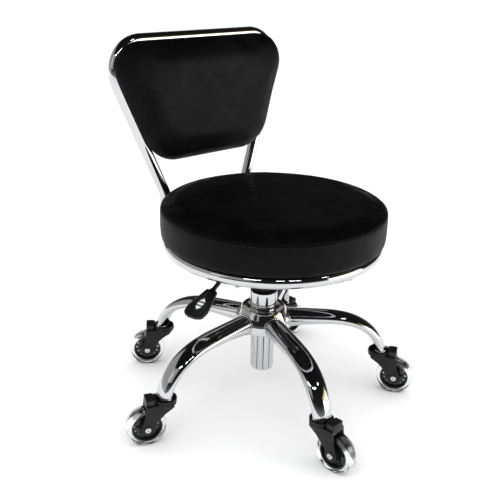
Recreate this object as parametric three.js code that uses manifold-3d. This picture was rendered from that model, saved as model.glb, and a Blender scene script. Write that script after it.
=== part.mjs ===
// Rolling stylist stool: five-legged caster base, gas lift, round padded seat and hooped backrest.
// Millimetres, +Z up. The origin is on the floor under the gas lift's axis, and the sitter faces -Y.

import * as THREE from 'three';
import { mergeVertices } from 'three/addons/utils/BufferGeometryUtils.js';
import Module from 'manifold-3d';

const wasm = await Module();
wasm.setup();

// ---------------------------------------------------------------- driving dimensions

const GAP = 0.3; // clearance between solids that touch or slide on each other

// Base: legs are counted anticlockwise seen from above, starting at the sitter's front right.
const LEG_COUNT = 5;
const FIRST_LEG_DEG = -106.6;
const LEG_PITCH_DEG = 360 / LEG_COUNT;
const LEG_LINE = [[40, 171.6], [113, 170.5], [181, 159], [216, 138.5], [236, 113], [244, 92]];
const LEG_WIDTHS = [[0, 41], [0.4, 44], [0.7, 42], [1, 36]]; // [share of length, width across]
const LEG_DEPTHS = [[0, 38], [0.3, 28], [0.7, 22], [1, 21.6]]; // [share of length, depth in the leg's plane]
const LEG_WALL = 2;
const LEG_HOLLOW_END = 0.8; // share of the leg's length that is hollow
const LEG_SIDES = 10;
const LEG_STATIONS = 8;

const HUB_TOP = 200;
const HUB_BOTTOM = 142;
const HUB_BORE_R = 22.7;
const HUB_OUTER = [[53, 157], [54, 159], [54, 172.5], [52.3, 178], [48.5, 187], [44, 195.5], [41, HUB_TOP]];
const HUB_SEGMENTS = 25;

// Gas lift
const GAS_TUBE_R = 26.4;
const GAS_TUBE_TOP = 233;
const GAS_TUBE_BORE_R = 20;
const CYLINDER_R = 14;
const CYLINDER_BORE_R = 12;
const CYLINDER_TOP = 328;
const CYLINDER_BOTTOM = 84;
const SLEEVE_R = 23.2;
const SLEEVE_BOTTOM = 64;
const SLEEVE_BORE_R = 17;
const FLUTE_COUNT = 10;
const FLUTE_DEPTH = 2;
const ROD_R = 5;
const BEARING_R = 10.5;
const ROUND_SEGMENTS = 16;
const SMALL_SEGMENTS = 8;

// Casters: the heading is the way the wheel trails from the stem at rest.
const STEM_CIRCLE_R = 242;
const STEM_R = 5;
const STEM_BOTTOM = 66.5;
const STEM_TOP = 105.7;
const STEM_FLANGE_R = 9;
const STEM_FLANGE_TOP = 87.4;
const CASTER_HEADINGS_DEG = [-84, -58, 2, 145, 158];
const TRAIL = 35.5;
const WHEEL_R = 37.5;
const WHEEL_WIDTH = 22;
const CORE_R = 28.2;
const CORE_RIM_HALF = 10.2;
const CORE_WEB_HALF = 3;
const CORE_HUB_R = 12;
const WHEEL_SEGMENTS = 20;
const AXLE_R = 4;
const AXLE_HEAD_R = 5.5;
const AXLE_HEAD = 2.6;
const FORK_HALF_WIDTH = 17;
const FORK_SLOT_HALF = 12.7;
const FORK_SLOT_R = 40;
const FORK_TOP = 84;
const HOOD_HALF_WIDTH = 13;
const HOOD_TOP = 95.5;
const HOOD_FROM = 19.5;
const HOOD_TO = 36;
const BOSS_R = 12.5;
const WELL_R = 19.2; // the well that the end of the leg stands in
const WELL_OUTER_R = 21.4;
const WELL_TOP = 91;
const WELL_BOTTOM = 72;
const WELL_PEAK_TOP = 97; // the taller lip on the wheel's side
const WELL_SEGMENTS = 20;

// Seat: its centre is a little forward of the lift's axis.
const SEAT_Y = -20.2;
const SEAT_R = 209.5;
const BOARD_R = 190;
const BOARD_BOTTOM = 352.3;
const BOARD_TOP = 363.3;
const CUSHION_TOP = 424;
const RING_R = 194;
const RING_Z = 341;
const TUBE_R = 11;
const TUBE_WALL = 1.7;
const SEAT_SEGMENTS = 36;

// Mounting plate under the seat
const PLATE_BOTTOM = 330;
const PLATE_TOP = 333;
const PLATE_BOSS_R = 22;
const PLATE_BOSS_BOTTOM = 296;
const SEAT_BOLTS = [[-45, -58], [45, -58], [-45, 62], [45, 62]];
const SEAT_BOLT_R = 3;
const HOOP_BOLT_Y = 45;
const HOOP_BOLT_R = 4;
const HOOP_BOLT_HEAD_R = 6.5;
const HOOP_BOLT_HEAD = 4.8;
const EAR_SIZE = [11, 4, 14]; // the two ears that hold the lever's pivot
const EAR_OFFSET = 7.7;

// Backrest hoop: a tube in a plane that leans back, with uprights that spread towards the top.
const RECLINE_DEG = 6.34;
const HOOP_Y = 180; // where the hoop's plane crosses the height below
const HOOP_Z = 420;
const HOOP_HALF = 109.4; // half distance between the uprights at that height
const HOOP_SPREAD = 0.393; // growth of that half distance with height along the plane
const HOOP_TOP = 271.3; // the top bar, measured up the plane
const HOOP_KINK = -18; // where the uprights turn vertical behind the cushion
const RUN_Z = 318.7; // the runs that go forward under the seat
const RUN_END_Y = 15;

// Backrest pad and board: depths are measured forward from the hoop's plane.
const PAD_TOP = 269.5;
const PAD_BOTTOM = 45.8;
const PAD_OVERHANG = 1.5;
const PAD_BACK = 11.5;
const PAD_TOP_CORNER_R = 50;
const PAD_BOTTOM_CORNER_R = 74;
const PAD_LAYERS = [[11.5, 0], [20, 3.5], [29, 10.5], [37, 21], [43, 36], [46.5, 58]]; // [depth, inset]
const BACK_BOARD_INSET = 13;
const BACK_BOARD = [11.3, 19.3];
const CROSSBAR = [8, 11];
const CROSSBAR_SPAN = [118, 162];
const BACK_SCREWS = [[-70, 128], [70, 128], [-70, 152], [70, 152]];
const SCREW_R = 2;

// Lever: it leaves the mechanism on the sitter's right and droops outwards.
const LEVER_DEG = 195;
const LEVER_Z = 340;
const LEVER_R = 4;
const PIVOT_AT = 24;
const PIVOT_R = 2.5;
const LEVER_BEND = [60, LEVER_Z];
const LEVER_END = [176, 288.4];
const PADDLE_FROM = 168;
const PADDLE_LENGTH = 66;
const PADDLE_WIDTH = 44;
const PADDLE_NECK = 22;
const PADDLE_THICKNESS = 8;

// ---------------------------------------------------------------- materials

const CHROME = { color: 0xd8dadd, roughness: 0.06, metalness: 1 };
const STEEL = { color: 0x9a9c9f, roughness: 0.35, metalness: 1 };
const BLACK_STEEL = { color: 0x15161a, roughness: 0.45, metalness: 0.6 };
const BLACK_PLASTIC = { color: 0x141416, roughness: 0.5, metalness: 0 };
const VINYL = { color: 0x0e0e10, roughness: 0.42, metalness: 0 };
const PLYWOOD = { color: 0xb08a5a, roughness: 0.75, metalness: 0 };
const CLEAR_TYRE = { color: 0xc9cdd0, roughness: 0.12, metalness: 0 };
const BRASS = { color: 0xb89348, roughness: 0.3, metalness: 1 };

// ---------------------------------------------------------------- geometry helpers

const radians = THREE.MathUtils.degToRad;
const stool = new THREE.Group();

function add(name, geometry, look, parent = stool) {
  const mesh = new THREE.Mesh(geometry, new THREE.MeshStandardMaterial(look));
  mesh.name = name;
  parent.add(mesh);
  return mesh;
}

// Merges shared vertices, drops triangles with no area and turns the faces outwards.
function weld(geometry) {
  const bare = geometry.clone();
  bare.deleteAttribute('normal');
  bare.deleteAttribute('uv');
  const merged = mergeVertices(bare, 1e-4);
  const index = merged.index.array;
  const position = merged.attributes.position;
  const corners = [new THREE.Vector3(), new THREE.Vector3(), new THREE.Vector3()];
  const kept = [];
  let volume = 0;
  for (let i = 0; i < index.length; i += 3) {
    const [a, b, c] = [index[i], index[i + 1], index[i + 2]];
    if (a === b || b === c || c === a) continue;
    kept.push([a, b, c]);
    corners[0].fromBufferAttribute(position, a);
    corners[1].fromBufferAttribute(position, b);
    corners[2].fromBufferAttribute(position, c);
    volume += corners[0].dot(corners[1].cross(corners[2]));
  }
  merged.setIndex(kept.map(([a, b, c]) => (volume > 0 ? [a, b, c] : [a, c, b])).flat());
  return merged;
}

function solid(geometry) {
  const welded = weld(geometry);
  return new wasm.Manifold(new wasm.Mesh({
    numProp: 3,
    vertProperties: new Float32Array(welded.attributes.position.array),
    triVerts: new Uint32Array(welded.index.array),
  }));
}

function geometryOf(manifold) {
  const mesh = manifold.getMesh();
  const geometry = new THREE.BufferGeometry();
  geometry.setAttribute('position', new THREE.BufferAttribute(Float32Array.from(mesh.vertProperties), 3));
  geometry.setIndex(new THREE.BufferAttribute(Uint32Array.from(mesh.triVerts), 1));
  geometry.computeVertexNormals();
  return geometry;
}

function cut(body, ...tools) {
  return tools.reduce((left, tool) => left.subtract(solid(tool)), solid(body));
}

// A profile of [radius, height] turned about Z.
function turned(profile, segments) {
  const points = profile.map(([r, z]) => new THREE.Vector2(r, z));
  return weld(new THREE.LatheGeometry(points, segments).rotateX(Math.PI / 2));
}

function turnedRing(profile, segments) {
  return turned([...profile, profile[0]], segments);
}

// A profile of [radius, distance along Y] turned about Y, with a flat facet at the bottom.
function turnedAcross(profile, segments) {
  const points = profile.map(([r, y]) => new THREE.Vector2(r, y));
  return weld(new THREE.LatheGeometry(points, segments, Math.PI / segments));
}

function ringAcross(profile, segments) {
  return turnedAcross([...profile, profile[0]], segments);
}

function upright(r, low, high, segments = SMALL_SEGMENTS) {
  return turned([[0, low], [r, low], [r, high], [0, high]], segments);
}

// The radius of a hole with few sides that a pin of radius r can turn in.
function turningHole(r) {
  return (r + GAP) / Math.cos(Math.PI / SMALL_SEGMENTS);
}

function tubeRing(inner, outer, low, high, segments) {
  return turnedRing([[inner, low], [outer, low], [outer, high], [inner, high]], segments);
}

function outline(points) {
  return new THREE.Shape(points.map(([x, y]) => new THREE.Vector2(x, y)));
}

// A plan outline raised from one height to another.
function raised(shape, low, high) {
  return new THREE.ExtrudeGeometry(shape, { depth: high - low, bevelEnabled: false }).translate(0, 0, low);
}

// A side outline of [x, z] given a width across Y.
function sideways(points, halfWidth) {
  const slab = new THREE.ExtrudeGeometry(outline(points), { depth: 2 * halfWidth, bevelEnabled: false });
  return slab.rotateX(Math.PI / 2).translate(0, halfWidth, 0);
}

// A closed skin over rings of points, with a flat fan over each end.
function loft(rings) {
  const sides = rings[0].length;
  const position = rings.flat().flatMap((p) => [p.x, p.y, p.z]);
  const index = [];
  for (let i = 0; i + 1 < rings.length; i += 1) {
    for (let j = 0; j < sides; j += 1) {
      const next = (j + 1) % sides;
      const [a, b] = [i * sides + j, i * sides + next];
      index.push(a, b, b + sides, a, b + sides, a + sides);
    }
  }
  for (const [ring, flip] of [[0, true], [rings.length - 1, false]]) {
    const centre = position.length / 3;
    const middle = rings[ring].reduce((sum, p) => sum.add(p), new THREE.Vector3()).divideScalar(sides);
    position.push(middle.x, middle.y, middle.z);
    for (let j = 0; j < sides; j += 1) {
      const [a, b] = [ring * sides + j, ring * sides + ((j + 1) % sides)];
      index.push(centre, flip ? b : a, flip ? a : b);
    }
  }
  const geometry = new THREE.BufferGeometry();
  geometry.setAttribute('position', new THREE.Float32BufferAttribute(position, 3));
  geometry.setIndex(index);
  return weld(geometry);
}

// A path that runs through its points exactly, for sweeping a tube along straights and bends.
class PointPath extends THREE.Curve {
  constructor(points) {
    super();
    this.points = points;
  }

  getPointAt(u, target = new THREE.Vector3()) {
    return target.copy(this.points[Math.round(u * (this.points.length - 1))]);
  }

  getTangentAt(u, target = new THREE.Vector3()) {
    const last = this.points.length - 1;
    const i = Math.round(u * last);
    const before = this.points[Math.max(i - 1, 0)];
    const here = this.points[i];
    const after = this.points[Math.min(i + 1, last)];
    target.subVectors(after, here).normalize();
    return target.add(new THREE.Vector3().subVectors(here, before).normalize()).normalize();
  }
}

// Rounds each inner corner of a path to its radius, with one point about every stepDeg.
function rounded(corners, radii, stepDeg = 22) {
  const points = [corners[0]];
  for (let i = 1; i + 1 < corners.length; i += 1) {
    const back = new THREE.Vector3().subVectors(corners[i - 1], corners[i]).normalize();
    const ahead = new THREE.Vector3().subVectors(corners[i + 1], corners[i]).normalize();
    const turn = Math.PI - back.angleTo(ahead);
    const steps = Math.max(2, Math.round(turn / radians(stepDeg)));
    const inward = back.clone().add(ahead).normalize();
    const centre = corners[i].clone().addScaledVector(inward, radii[i - 1] / Math.cos(turn / 2));
    const start = corners[i].clone().addScaledVector(back, radii[i - 1] * Math.tan(turn / 2)).sub(centre);
    const axis = new THREE.Vector3().crossVectors(ahead, back).normalize();
    for (let k = 0; k <= steps; k += 1) {
      points.push(start.clone().applyAxisAngle(axis, (turn * k) / steps).add(centre));
    }
  }
  points.push(corners[corners.length - 1]);
  return points;
}

function roundSection(r, holeR) {
  const shape = new THREE.Shape().absarc(0, 0, r, 0, 2 * Math.PI, false);
  if (holeR) shape.holes.push(new THREE.Path().absarc(0, 0, holeR, 0, 2 * Math.PI, true));
  return shape;
}

function swept(points, section, halfSides) {
  const path = new PointPath(points);
  return weld(new THREE.ExtrudeGeometry(section, {
    steps: points.length - 1,
    curveSegments: halfSides,
    bevelEnabled: false,
    extrudePath: path,
  }));
}

function along(table, share) {
  const next = table.findIndex(([at]) => at >= share);
  if (next <= 0) return table[Math.max(next, 0)][1];
  const [[from, a], [to, b]] = [table[next - 1], table[next]];
  return THREE.MathUtils.lerp(a, b, (share - from) / (to - from));
}

// ---------------------------------------------------------------- base

const hubShell = turnedRing([
  [HUB_BORE_R, HUB_BOTTOM], [25.4, HUB_BOTTOM], [25.4, 184], [38, 184], [49.5, 170], [49.5, 157],
  ...HUB_OUTER, [HUB_BORE_R, HUB_TOP],
], HUB_SEGMENTS);
add('base_hub', hubShell, CHROME);

// The space that the hub takes, grown by the gap, which the legs' inner ends are cut to.
const hubSpace = turned([
  [0, HUB_BOTTOM - 1], [HUB_OUTER[0][0] + GAP, HUB_BOTTOM - 1],
  ...HUB_OUTER.map(([r, z]) => [r + GAP, z + GAP]), [0, HUB_TOP + GAP],
], HUB_SEGMENTS);

const legLine = new THREE.CatmullRomCurve3(LEG_LINE.map(([r, z]) => new THREE.Vector3(r, 0, z)));

function legSkin(from, to, inset, sides, stations) {
  const rings = [];
  for (let i = 0; i <= stations; i += 1) {
    const share = THREE.MathUtils.lerp(from, to, i / stations);
    const middle = legLine.getPointAt(share);
    const ahead = legLine.getTangentAt(share);
    const up = new THREE.Vector3(-ahead.z, 0, ahead.x);
    const halfWidth = along(LEG_WIDTHS, share) / 2 - inset;
    const halfDepth = along(LEG_DEPTHS, share) / 2 - inset;
    const ring = [];
    for (let j = 0; j < sides; j += 1) {
      const turn = (2 * Math.PI * j) / sides;
      const point = middle.clone().addScaledVector(up, halfDepth * Math.sin(turn));
      ring.push(point.add(new THREE.Vector3(0, halfWidth * Math.cos(turn), 0)));
    }
    rings.push(ring);
  }
  return loft(rings);
}

const stemHole = upright(STEM_R + 0.8, 80, 106).translate(STEM_CIRCLE_R, 0, 0);
const legBody = solid(legSkin(0, 1, 0, LEG_SIDES, LEG_STATIONS))
  .subtract(solid(legSkin(0, LEG_HOLLOW_END, LEG_WALL, LEG_SIDES, LEG_STATIONS - 3)))
  .subtract(solid(stemHole));

for (let i = 0; i < LEG_COUNT; i += 1) {
  const angle = radians(FIRST_LEG_DEG + i * LEG_PITCH_DEG);
  const leg = solid(geometryOf(legBody).rotateZ(angle)).subtract(solid(hubSpace));
  add(`leg_${i + 1}`, geometryOf(leg), CHROME);
}

// ---------------------------------------------------------------- gas lift

const gasTube = turnedRing([
  [GAS_TUBE_BORE_R, 146], [HUB_BORE_R - GAP, 146], [HUB_BORE_R - GAP, HUB_TOP + GAP],
  [GAS_TUBE_R, HUB_TOP + GAP], [GAS_TUBE_R, 232], [25.4, GAS_TUBE_TOP], [24.6, GAS_TUBE_TOP],
  [24.6, 222], [GAS_TUBE_BORE_R, 222],
], ROUND_SEGMENTS);
add('gas_lift_outer_tube', gasTube, CHROME);

const bushing = turnedRing([
  [CYLINDER_R + GAP, 170], [GAS_TUBE_BORE_R - GAP, 170], [GAS_TUBE_BORE_R - GAP, 222 + GAP],
  [24.3, 222 + GAP], [24.3, 230], [CYLINDER_R + GAP, 231.5],
], ROUND_SEGMENTS);
add('guide_bushing', bushing, BLACK_PLASTIC);

function flutedOutline() {
  const points = [];
  const steps = FLUTE_COUNT * 4;
  for (let i = 0; i < steps; i += 1) {
    const angle = (2 * Math.PI * i) / steps;
    const r = SLEEVE_R - (FLUTE_DEPTH / 2) * (1 - Math.cos(FLUTE_COUNT * angle));
    points.push([r * Math.cos(angle), r * Math.sin(angle)]);
  }
  return outline(points);
}

const sleeve = cut(
  raised(flutedOutline(), SLEEVE_BOTTOM, HUB_BOTTOM - GAP),
  upright(SLEEVE_BORE_R, SLEEVE_BOTTOM + 6, HUB_BOTTOM + 5, ROUND_SEGMENTS),
  upright(turningHole(ROD_R), SLEEVE_BOTTOM - 5, SLEEVE_BOTTOM + 10),
);
add('fluted_sleeve', geometryOf(sleeve), CHROME);

const bearingBottom = SLEEVE_BOTTOM + 6 + GAP;
const bearing = tubeRing(turningHole(ROD_R), BEARING_R, bearingBottom, bearingBottom + 5, SMALL_SEGMENTS);
add('thrust_bearing', bearing, STEEL);

const rodHeadTop = SLEEVE_BOTTOM - GAP;
const pistonRod = turned([
  [0, rodHeadTop - 4], [9, rodHeadTop - 4], [9, rodHeadTop], [ROD_R, rodHeadTop], [ROD_R, 296], [0, 296],
], SMALL_SEGMENTS);
add('piston_rod', pistonRod, STEEL);
add('piston_head', tubeRing(ROD_R + GAP, 11.4, 284, 293, SMALL_SEGMENTS), BRASS);

const liftCylinder = turnedRing([
  [CYLINDER_BORE_R, CYLINDER_BOTTOM], [CYLINDER_R, CYLINDER_BOTTOM], [CYLINDER_R, CYLINDER_TOP],
  [2.9, CYLINDER_TOP], [2.9, CYLINDER_TOP - 6], [CYLINDER_BORE_R, CYLINDER_TOP - 6],
], ROUND_SEGMENTS);
add('lift_cylinder', liftCylinder, BLACK_STEEL);

const pinTop = LEVER_Z - LEVER_R - 0.6;
const valvePin = turned([
  [0, CYLINDER_TOP - 14], [2.4, CYLINDER_TOP - 14], [2.4, pinTop - 2.4], [4.5, pinTop - 2.4],
  [4.5, pinTop], [0, pinTop],
], SMALL_SEGMENTS);
add('valve_pin', valvePin, STEEL);

// ---------------------------------------------------------------- casters

function forkGeometry() {
  const boss = [];
  for (let deg = 155; deg <= 370; deg += 43) {
    boss.push([TRAIL + BOSS_R * Math.cos(radians(deg)), WHEEL_R + BOSS_R * Math.sin(radians(deg))]);
  }
  const plates = sideways([
    [-14.5, FORK_TOP], [-14.5, 76], [2, 65], ...boss, [41.5, 56], [37.5, 72], [HOOD_TO, FORK_TOP],
  ], FORK_HALF_WIDTH);
  const hood = sideways([
    [HOOD_FROM, FORK_TOP - 2], [HOOD_TO, FORK_TOP - 2], [HOOD_TO, HOOD_TOP], [HOOD_FROM, HOOD_TOP],
  ], HOOD_HALF_WIDTH);
  const well = turnedRing([
    [turningHole(STEM_R), WELL_BOTTOM], [WELL_OUTER_R - 6, WELL_BOTTOM], [WELL_OUTER_R, WELL_BOTTOM + 8],
    [WELL_OUTER_R, WELL_TOP], [WELL_R, WELL_TOP], [WELL_R, FORK_TOP], [turningHole(STEM_R), FORK_TOP],
  ], WELL_SEGMENTS);
  const peakSpan = new THREE.BoxGeometry(20, 18, 20).translate(WELL_R + 7, 0, FORK_TOP + 5);
  const peak = solid(tubeRing(WELL_R, WELL_OUTER_R, FORK_TOP - 2, WELL_PEAK_TOP, WELL_SEGMENTS))
    .intersect(solid(peakSpan));
  const slot = turnedAcross([
    [0, -FORK_SLOT_HALF], [FORK_SLOT_R, -FORK_SLOT_HALF], [FORK_SLOT_R, FORK_SLOT_HALF], [0, FORK_SLOT_HALF],
  ], WHEEL_SEGMENTS).translate(TRAIL, 0, WHEEL_R);
  const axleHole = turnedAcross([
    [0, -30], [AXLE_R + GAP, -30], [AXLE_R + GAP, 30], [0, 30],
  ], SMALL_SEGMENTS).translate(TRAIL, 0, WHEEL_R);
  const fork = solid(plates).add(solid(hood)).add(solid(well)).add(peak);
  return geometryOf([slot, axleHole, upright(turningHole(STEM_R), 40, FORK_TOP + 5)]
    .reduce((left, tool) => left.subtract(solid(tool)), fork));
}

const halfWheel = WHEEL_WIDTH / 2;
const facet = Math.cos(Math.PI / WHEEL_SEGMENTS); // flat of a facet over its corner's radius
const tyreProfile = [
  [CORE_R + GAP, -halfWheel], [35.6, -halfWheel], [WHEEL_R / facet, -8], [WHEEL_R / facet, 8],
  [35.6, halfWheel], [CORE_R + GAP, halfWheel],
];
const rimInnerR = CORE_R - 2.8;
const coreProfile = [
  [AXLE_R + GAP, -halfWheel], [CORE_HUB_R, -halfWheel], [CORE_HUB_R, -CORE_WEB_HALF],
  [rimInnerR, -CORE_WEB_HALF], [rimInnerR, -CORE_RIM_HALF], [CORE_R, -CORE_RIM_HALF],
  [CORE_R, CORE_RIM_HALF], [rimInnerR, CORE_RIM_HALF], [rimInnerR, CORE_WEB_HALF],
  [CORE_HUB_R, CORE_WEB_HALF], [CORE_HUB_R, halfWheel], [AXLE_R + GAP, halfWheel],
];
const boltHeadFrom = FORK_HALF_WIDTH + GAP;
const boltHeadTo = FORK_HALF_WIDTH + AXLE_HEAD;
const axleProfile = [
  [0, -boltHeadTo], [AXLE_HEAD_R, -boltHeadTo], [AXLE_HEAD_R, -boltHeadFrom], [AXLE_R, -boltHeadFrom],
  [AXLE_R, boltHeadFrom], [AXLE_HEAD_R, boltHeadFrom], [AXLE_HEAD_R, boltHeadTo], [0, boltHeadTo],
];
const stemProfile = [
  [0, STEM_BOTTOM], [STEM_R, STEM_BOTTOM], [STEM_R, FORK_TOP + GAP], [STEM_FLANGE_R, FORK_TOP + GAP],
  [STEM_FLANGE_R, STEM_FLANGE_TOP], [STEM_R, STEM_FLANGE_TOP], [STEM_R, STEM_TOP], [0, STEM_TOP],
];

const forkShape = forkGeometry();
for (let i = 0; i < LEG_COUNT; i += 1) {
  const legAngle = radians(FIRST_LEG_DEG + i * LEG_PITCH_DEG);
  const caster = new THREE.Group();
  caster.position.set(STEM_CIRCLE_R * Math.cos(legAngle), STEM_CIRCLE_R * Math.sin(legAngle), 0);
  caster.rotation.z = radians(CASTER_HEADINGS_DEG[i]);
  stool.add(caster);
  const wheel = new THREE.Group();
  wheel.position.set(TRAIL, 0, WHEEL_R);
  caster.add(wheel);
  add(`caster_stem_${i + 1}`, turned(stemProfile, SMALL_SEGMENTS), STEEL, caster);
  add(`caster_fork_${i + 1}`, forkShape.clone(), BLACK_PLASTIC, caster);
  add(`wheel_axle_${i + 1}`, turnedAcross(axleProfile, SMALL_SEGMENTS), STEEL, wheel);
  add(`wheel_core_${i + 1}`, ringAcross(coreProfile, WHEEL_SEGMENTS), BLACK_PLASTIC, wheel);
  add(`wheel_tyre_${i + 1}`, ringAcross(tyreProfile, WHEEL_SEGMENTS), CLEAR_TYRE, wheel);
}

// ---------------------------------------------------------------- seat

const boardGap = BOARD_R + 0.8;
const seat = new THREE.Group();
seat.position.y = SEAT_Y;
stool.add(seat);
add('seat_board', upright(BOARD_R, BOARD_BOTTOM, BOARD_TOP, SEAT_SEGMENTS), PLYWOOD, seat);
const cushion = turned([
  [0, BOARD_TOP + GAP], [boardGap, BOARD_TOP + GAP], [boardGap, 352.6], [203, 352.6], [207.5, 357],
  [SEAT_R, 366], [SEAT_R, 404], [206, 413], [196, 417.5], [120, 422.5], [0, CUSHION_TOP],
], SEAT_SEGMENTS);
add('seat_cushion', cushion, VINYL, seat);

// The trim ring is a hollow tube with one vent hole in its underside.
const ring = cut(
  new THREE.TorusGeometry(RING_R, TUBE_R, 8, SEAT_SEGMENTS).translate(0, 0, RING_Z),
  new THREE.TorusGeometry(RING_R, TUBE_R - TUBE_WALL, 6, SEAT_SEGMENTS).translate(0, 0, RING_Z),
  upright(2.5, RING_Z - TUBE_R - 5, RING_Z - 4).translate(0, RING_R, 0),
);
add('seat_ring', geometryOf(ring), CHROME, seat);

// ---------------------------------------------------------------- mounting plate and its bolts

const runX = HOOP_HALF + HOOP_SPREAD * HOOP_KINK;
const plateHalf = runX + 20;
const plateShape = outline([
  [-plateHalf, 12], [-62, 12], [-62, -75], [62, -75], [62, 12], [plateHalf, 12], [plateHalf, 80],
  [-plateHalf, 80],
]);
const ears = [-1, 1].map((side) => {
  const ear = new THREE.BoxGeometry(...EAR_SIZE).translate(PIVOT_AT, side * EAR_OFFSET, PLATE_TOP + 6);
  return solid(ear.rotateZ(radians(LEVER_DEG)));
});
const pivotHole = new THREE.CylinderGeometry(PIVOT_R + GAP, PIVOT_R + GAP, 60, SMALL_SEGMENTS)
  .translate(PIVOT_AT, 0, LEVER_Z).rotateZ(radians(LEVER_DEG));
const plateBody = solid(raised(plateShape, PLATE_BOTTOM, PLATE_TOP))
  .add(solid(upright(PLATE_BOSS_R, PLATE_BOSS_BOTTOM, PLATE_TOP, ROUND_SEGMENTS)))
  .add(ears[0])
  .add(ears[1]);
const boltReach = [RUN_Z - 2 * TUBE_R, PLATE_TOP + 10];
const hoopBoltHoles = [-runX, runX]
  .map((x) => upright(HOOP_BOLT_R + GAP, ...boltReach).translate(x, HOOP_BOLT_Y, 0));
const plateHoles = [
  upright(CYLINDER_R + GAP, PLATE_BOSS_BOTTOM - 5, PLATE_TOP + 5, ROUND_SEGMENTS),
  pivotHole,
  ...SEAT_BOLTS.map(([x, y]) => upright(SEAT_BOLT_R + GAP, ...boltReach).translate(x, y, 0)),
  ...hoopBoltHoles,
];
const plate = plateHoles.reduce((left, tool) => left.subtract(solid(tool)), plateBody);
add('mounting_plate', geometryOf(plate), BLACK_STEEL);

SEAT_BOLTS.forEach(([x, y], i) => {
  const bolt = turned([
    [0, 325.5], [6, 325.5], [6, PLATE_BOTTOM - GAP], [SEAT_BOLT_R, PLATE_BOTTOM - GAP],
    [SEAT_BOLT_R, PLATE_TOP + GAP], [7, PLATE_TOP + GAP], [7, BOARD_BOTTOM - GAP], [0, BOARD_BOTTOM - GAP],
  ], SMALL_SEGMENTS);
  add(`seat_bolt_${i + 1}`, bolt, STEEL).position.set(x, y, 0);
});

// ---------------------------------------------------------------- backrest

// A point of the hoop's plane: across, up the plane and forward of it.
const lean = radians(RECLINE_DEG);
const upPlane = new THREE.Vector3(0, Math.sin(lean), Math.cos(lean));
const forward = new THREE.Vector3(0, -Math.cos(lean), Math.sin(lean));
const planeFrame = new THREE.Matrix4()
  .makeBasis(new THREE.Vector3(1, 0, 0), upPlane, forward)
  .setPosition(0, HOOP_Y, HOOP_Z);

// Moves a solid drawn as across, up and forward into the hoop's plane.
function inPlane(geometry) {
  return weld(geometry.applyMatrix4(planeFrame));
}

function halfAt(up) {
  return HOOP_HALF + HOOP_SPREAD * up;
}

const kink = new THREE.Vector3(runX, HOOP_KINK, 0).applyMatrix4(planeFrame);
const rightSide = [
  new THREE.Vector3(runX, RUN_END_Y, RUN_Z),
  new THREE.Vector3(runX, kink.y, RUN_Z),
  kink,
  new THREE.Vector3(halfAt(HOOP_TOP), HOOP_TOP, 0).applyMatrix4(planeFrame),
];
const leftSide = rightSide.map((p) => new THREE.Vector3(-p.x, p.y, p.z)).reverse();
const hoopPath = rounded([...rightSide, ...leftSide], [34, 50, 58, 58, 50, 34]);
const hoop = cut(
  swept(hoopPath, roundSection(TUBE_R, TUBE_R - TUBE_WALL), 5),
  ...hoopBoltHoles,
);
add('backrest_hoop', geometryOf(hoop), CHROME);

[-runX, runX].forEach((x, i) => {
  const headTop = RUN_Z - TUBE_R - GAP;
  const bolt = turned([
    [0, headTop - HOOP_BOLT_HEAD], [HOOP_BOLT_HEAD_R, headTop - HOOP_BOLT_HEAD], [HOOP_BOLT_HEAD_R, headTop],
    [HOOP_BOLT_R, headTop], [HOOP_BOLT_R, PLATE_TOP + GAP], [HOOP_BOLT_HEAD_R, PLATE_TOP + GAP],
    [HOOP_BOLT_HEAD_R, PLATE_TOP + HOOP_BOLT_HEAD], [0, PLATE_TOP + HOOP_BOLT_HEAD],
  ], SMALL_SEGMENTS);
  add(`hoop_bolt_${i + 1}`, bolt, STEEL).position.set(x, HOOP_BOLT_Y, 0);
});

// The pad's outline, drawn in by an inset, as points that match from one inset to the next.
function padOutline(inset) {
  const slant = Math.hypot(1, HOOP_SPREAD);
  const low = PAD_BOTTOM + inset;
  const high = PAD_TOP - inset;
  const half = (up) => halfAt(up) + PAD_OVERHANG - inset * slant;
  const corners = [[half(high), high], [-half(high), high], [-half(low), low], [half(low), low]];
  const loop = corners.map(([x, y]) => new THREE.Vector3(x, y, 0));
  const radii = [PAD_TOP_CORNER_R, PAD_TOP_CORNER_R, PAD_BOTTOM_CORNER_R, PAD_BOTTOM_CORNER_R];
  const points = [];
  for (let i = 0; i < 4; i += 1) {
    const three = [loop[(i + 3) % 4], loop[i], loop[(i + 1) % 4]];
    const radius = Math.max(radii[i] - inset * 0.6, 8);
    points.push(...rounded(three, [radius], i < 2 ? 22 : 24).slice(1, -1));
  }
  return points;
}

function padSolid() {
  return loft(PAD_LAYERS.map(([depth, inset]) => padOutline(inset).map((p) => p.setZ(depth))));
}

const backBoardShape = outline(padOutline(BACK_BOARD_INSET).map((p) => [p.x, p.y]));
const boardPocket = outline(padOutline(BACK_BOARD_INSET - 0.6).map((p) => [p.x, p.y]));
const screwHoles = BACK_SCREWS.map(([x, y]) => {
  const hole = new THREE.CylinderGeometry(SCREW_R + GAP, SCREW_R + GAP, 12, SMALL_SEGMENTS);
  return hole.rotateX(Math.PI / 2).translate(x, y, CROSSBAR[1]);
});
const pad = cut(padSolid(), raised(boardPocket, PAD_BACK - 5, BACK_BOARD[1] + GAP));
add('backrest_pad', inPlane(geometryOf(pad)), VINYL);
const backBoard = cut(raised(backBoardShape, ...BACK_BOARD), ...screwHoles);
add('backrest_board', inPlane(geometryOf(backBoard)), PLYWOOD);

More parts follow.
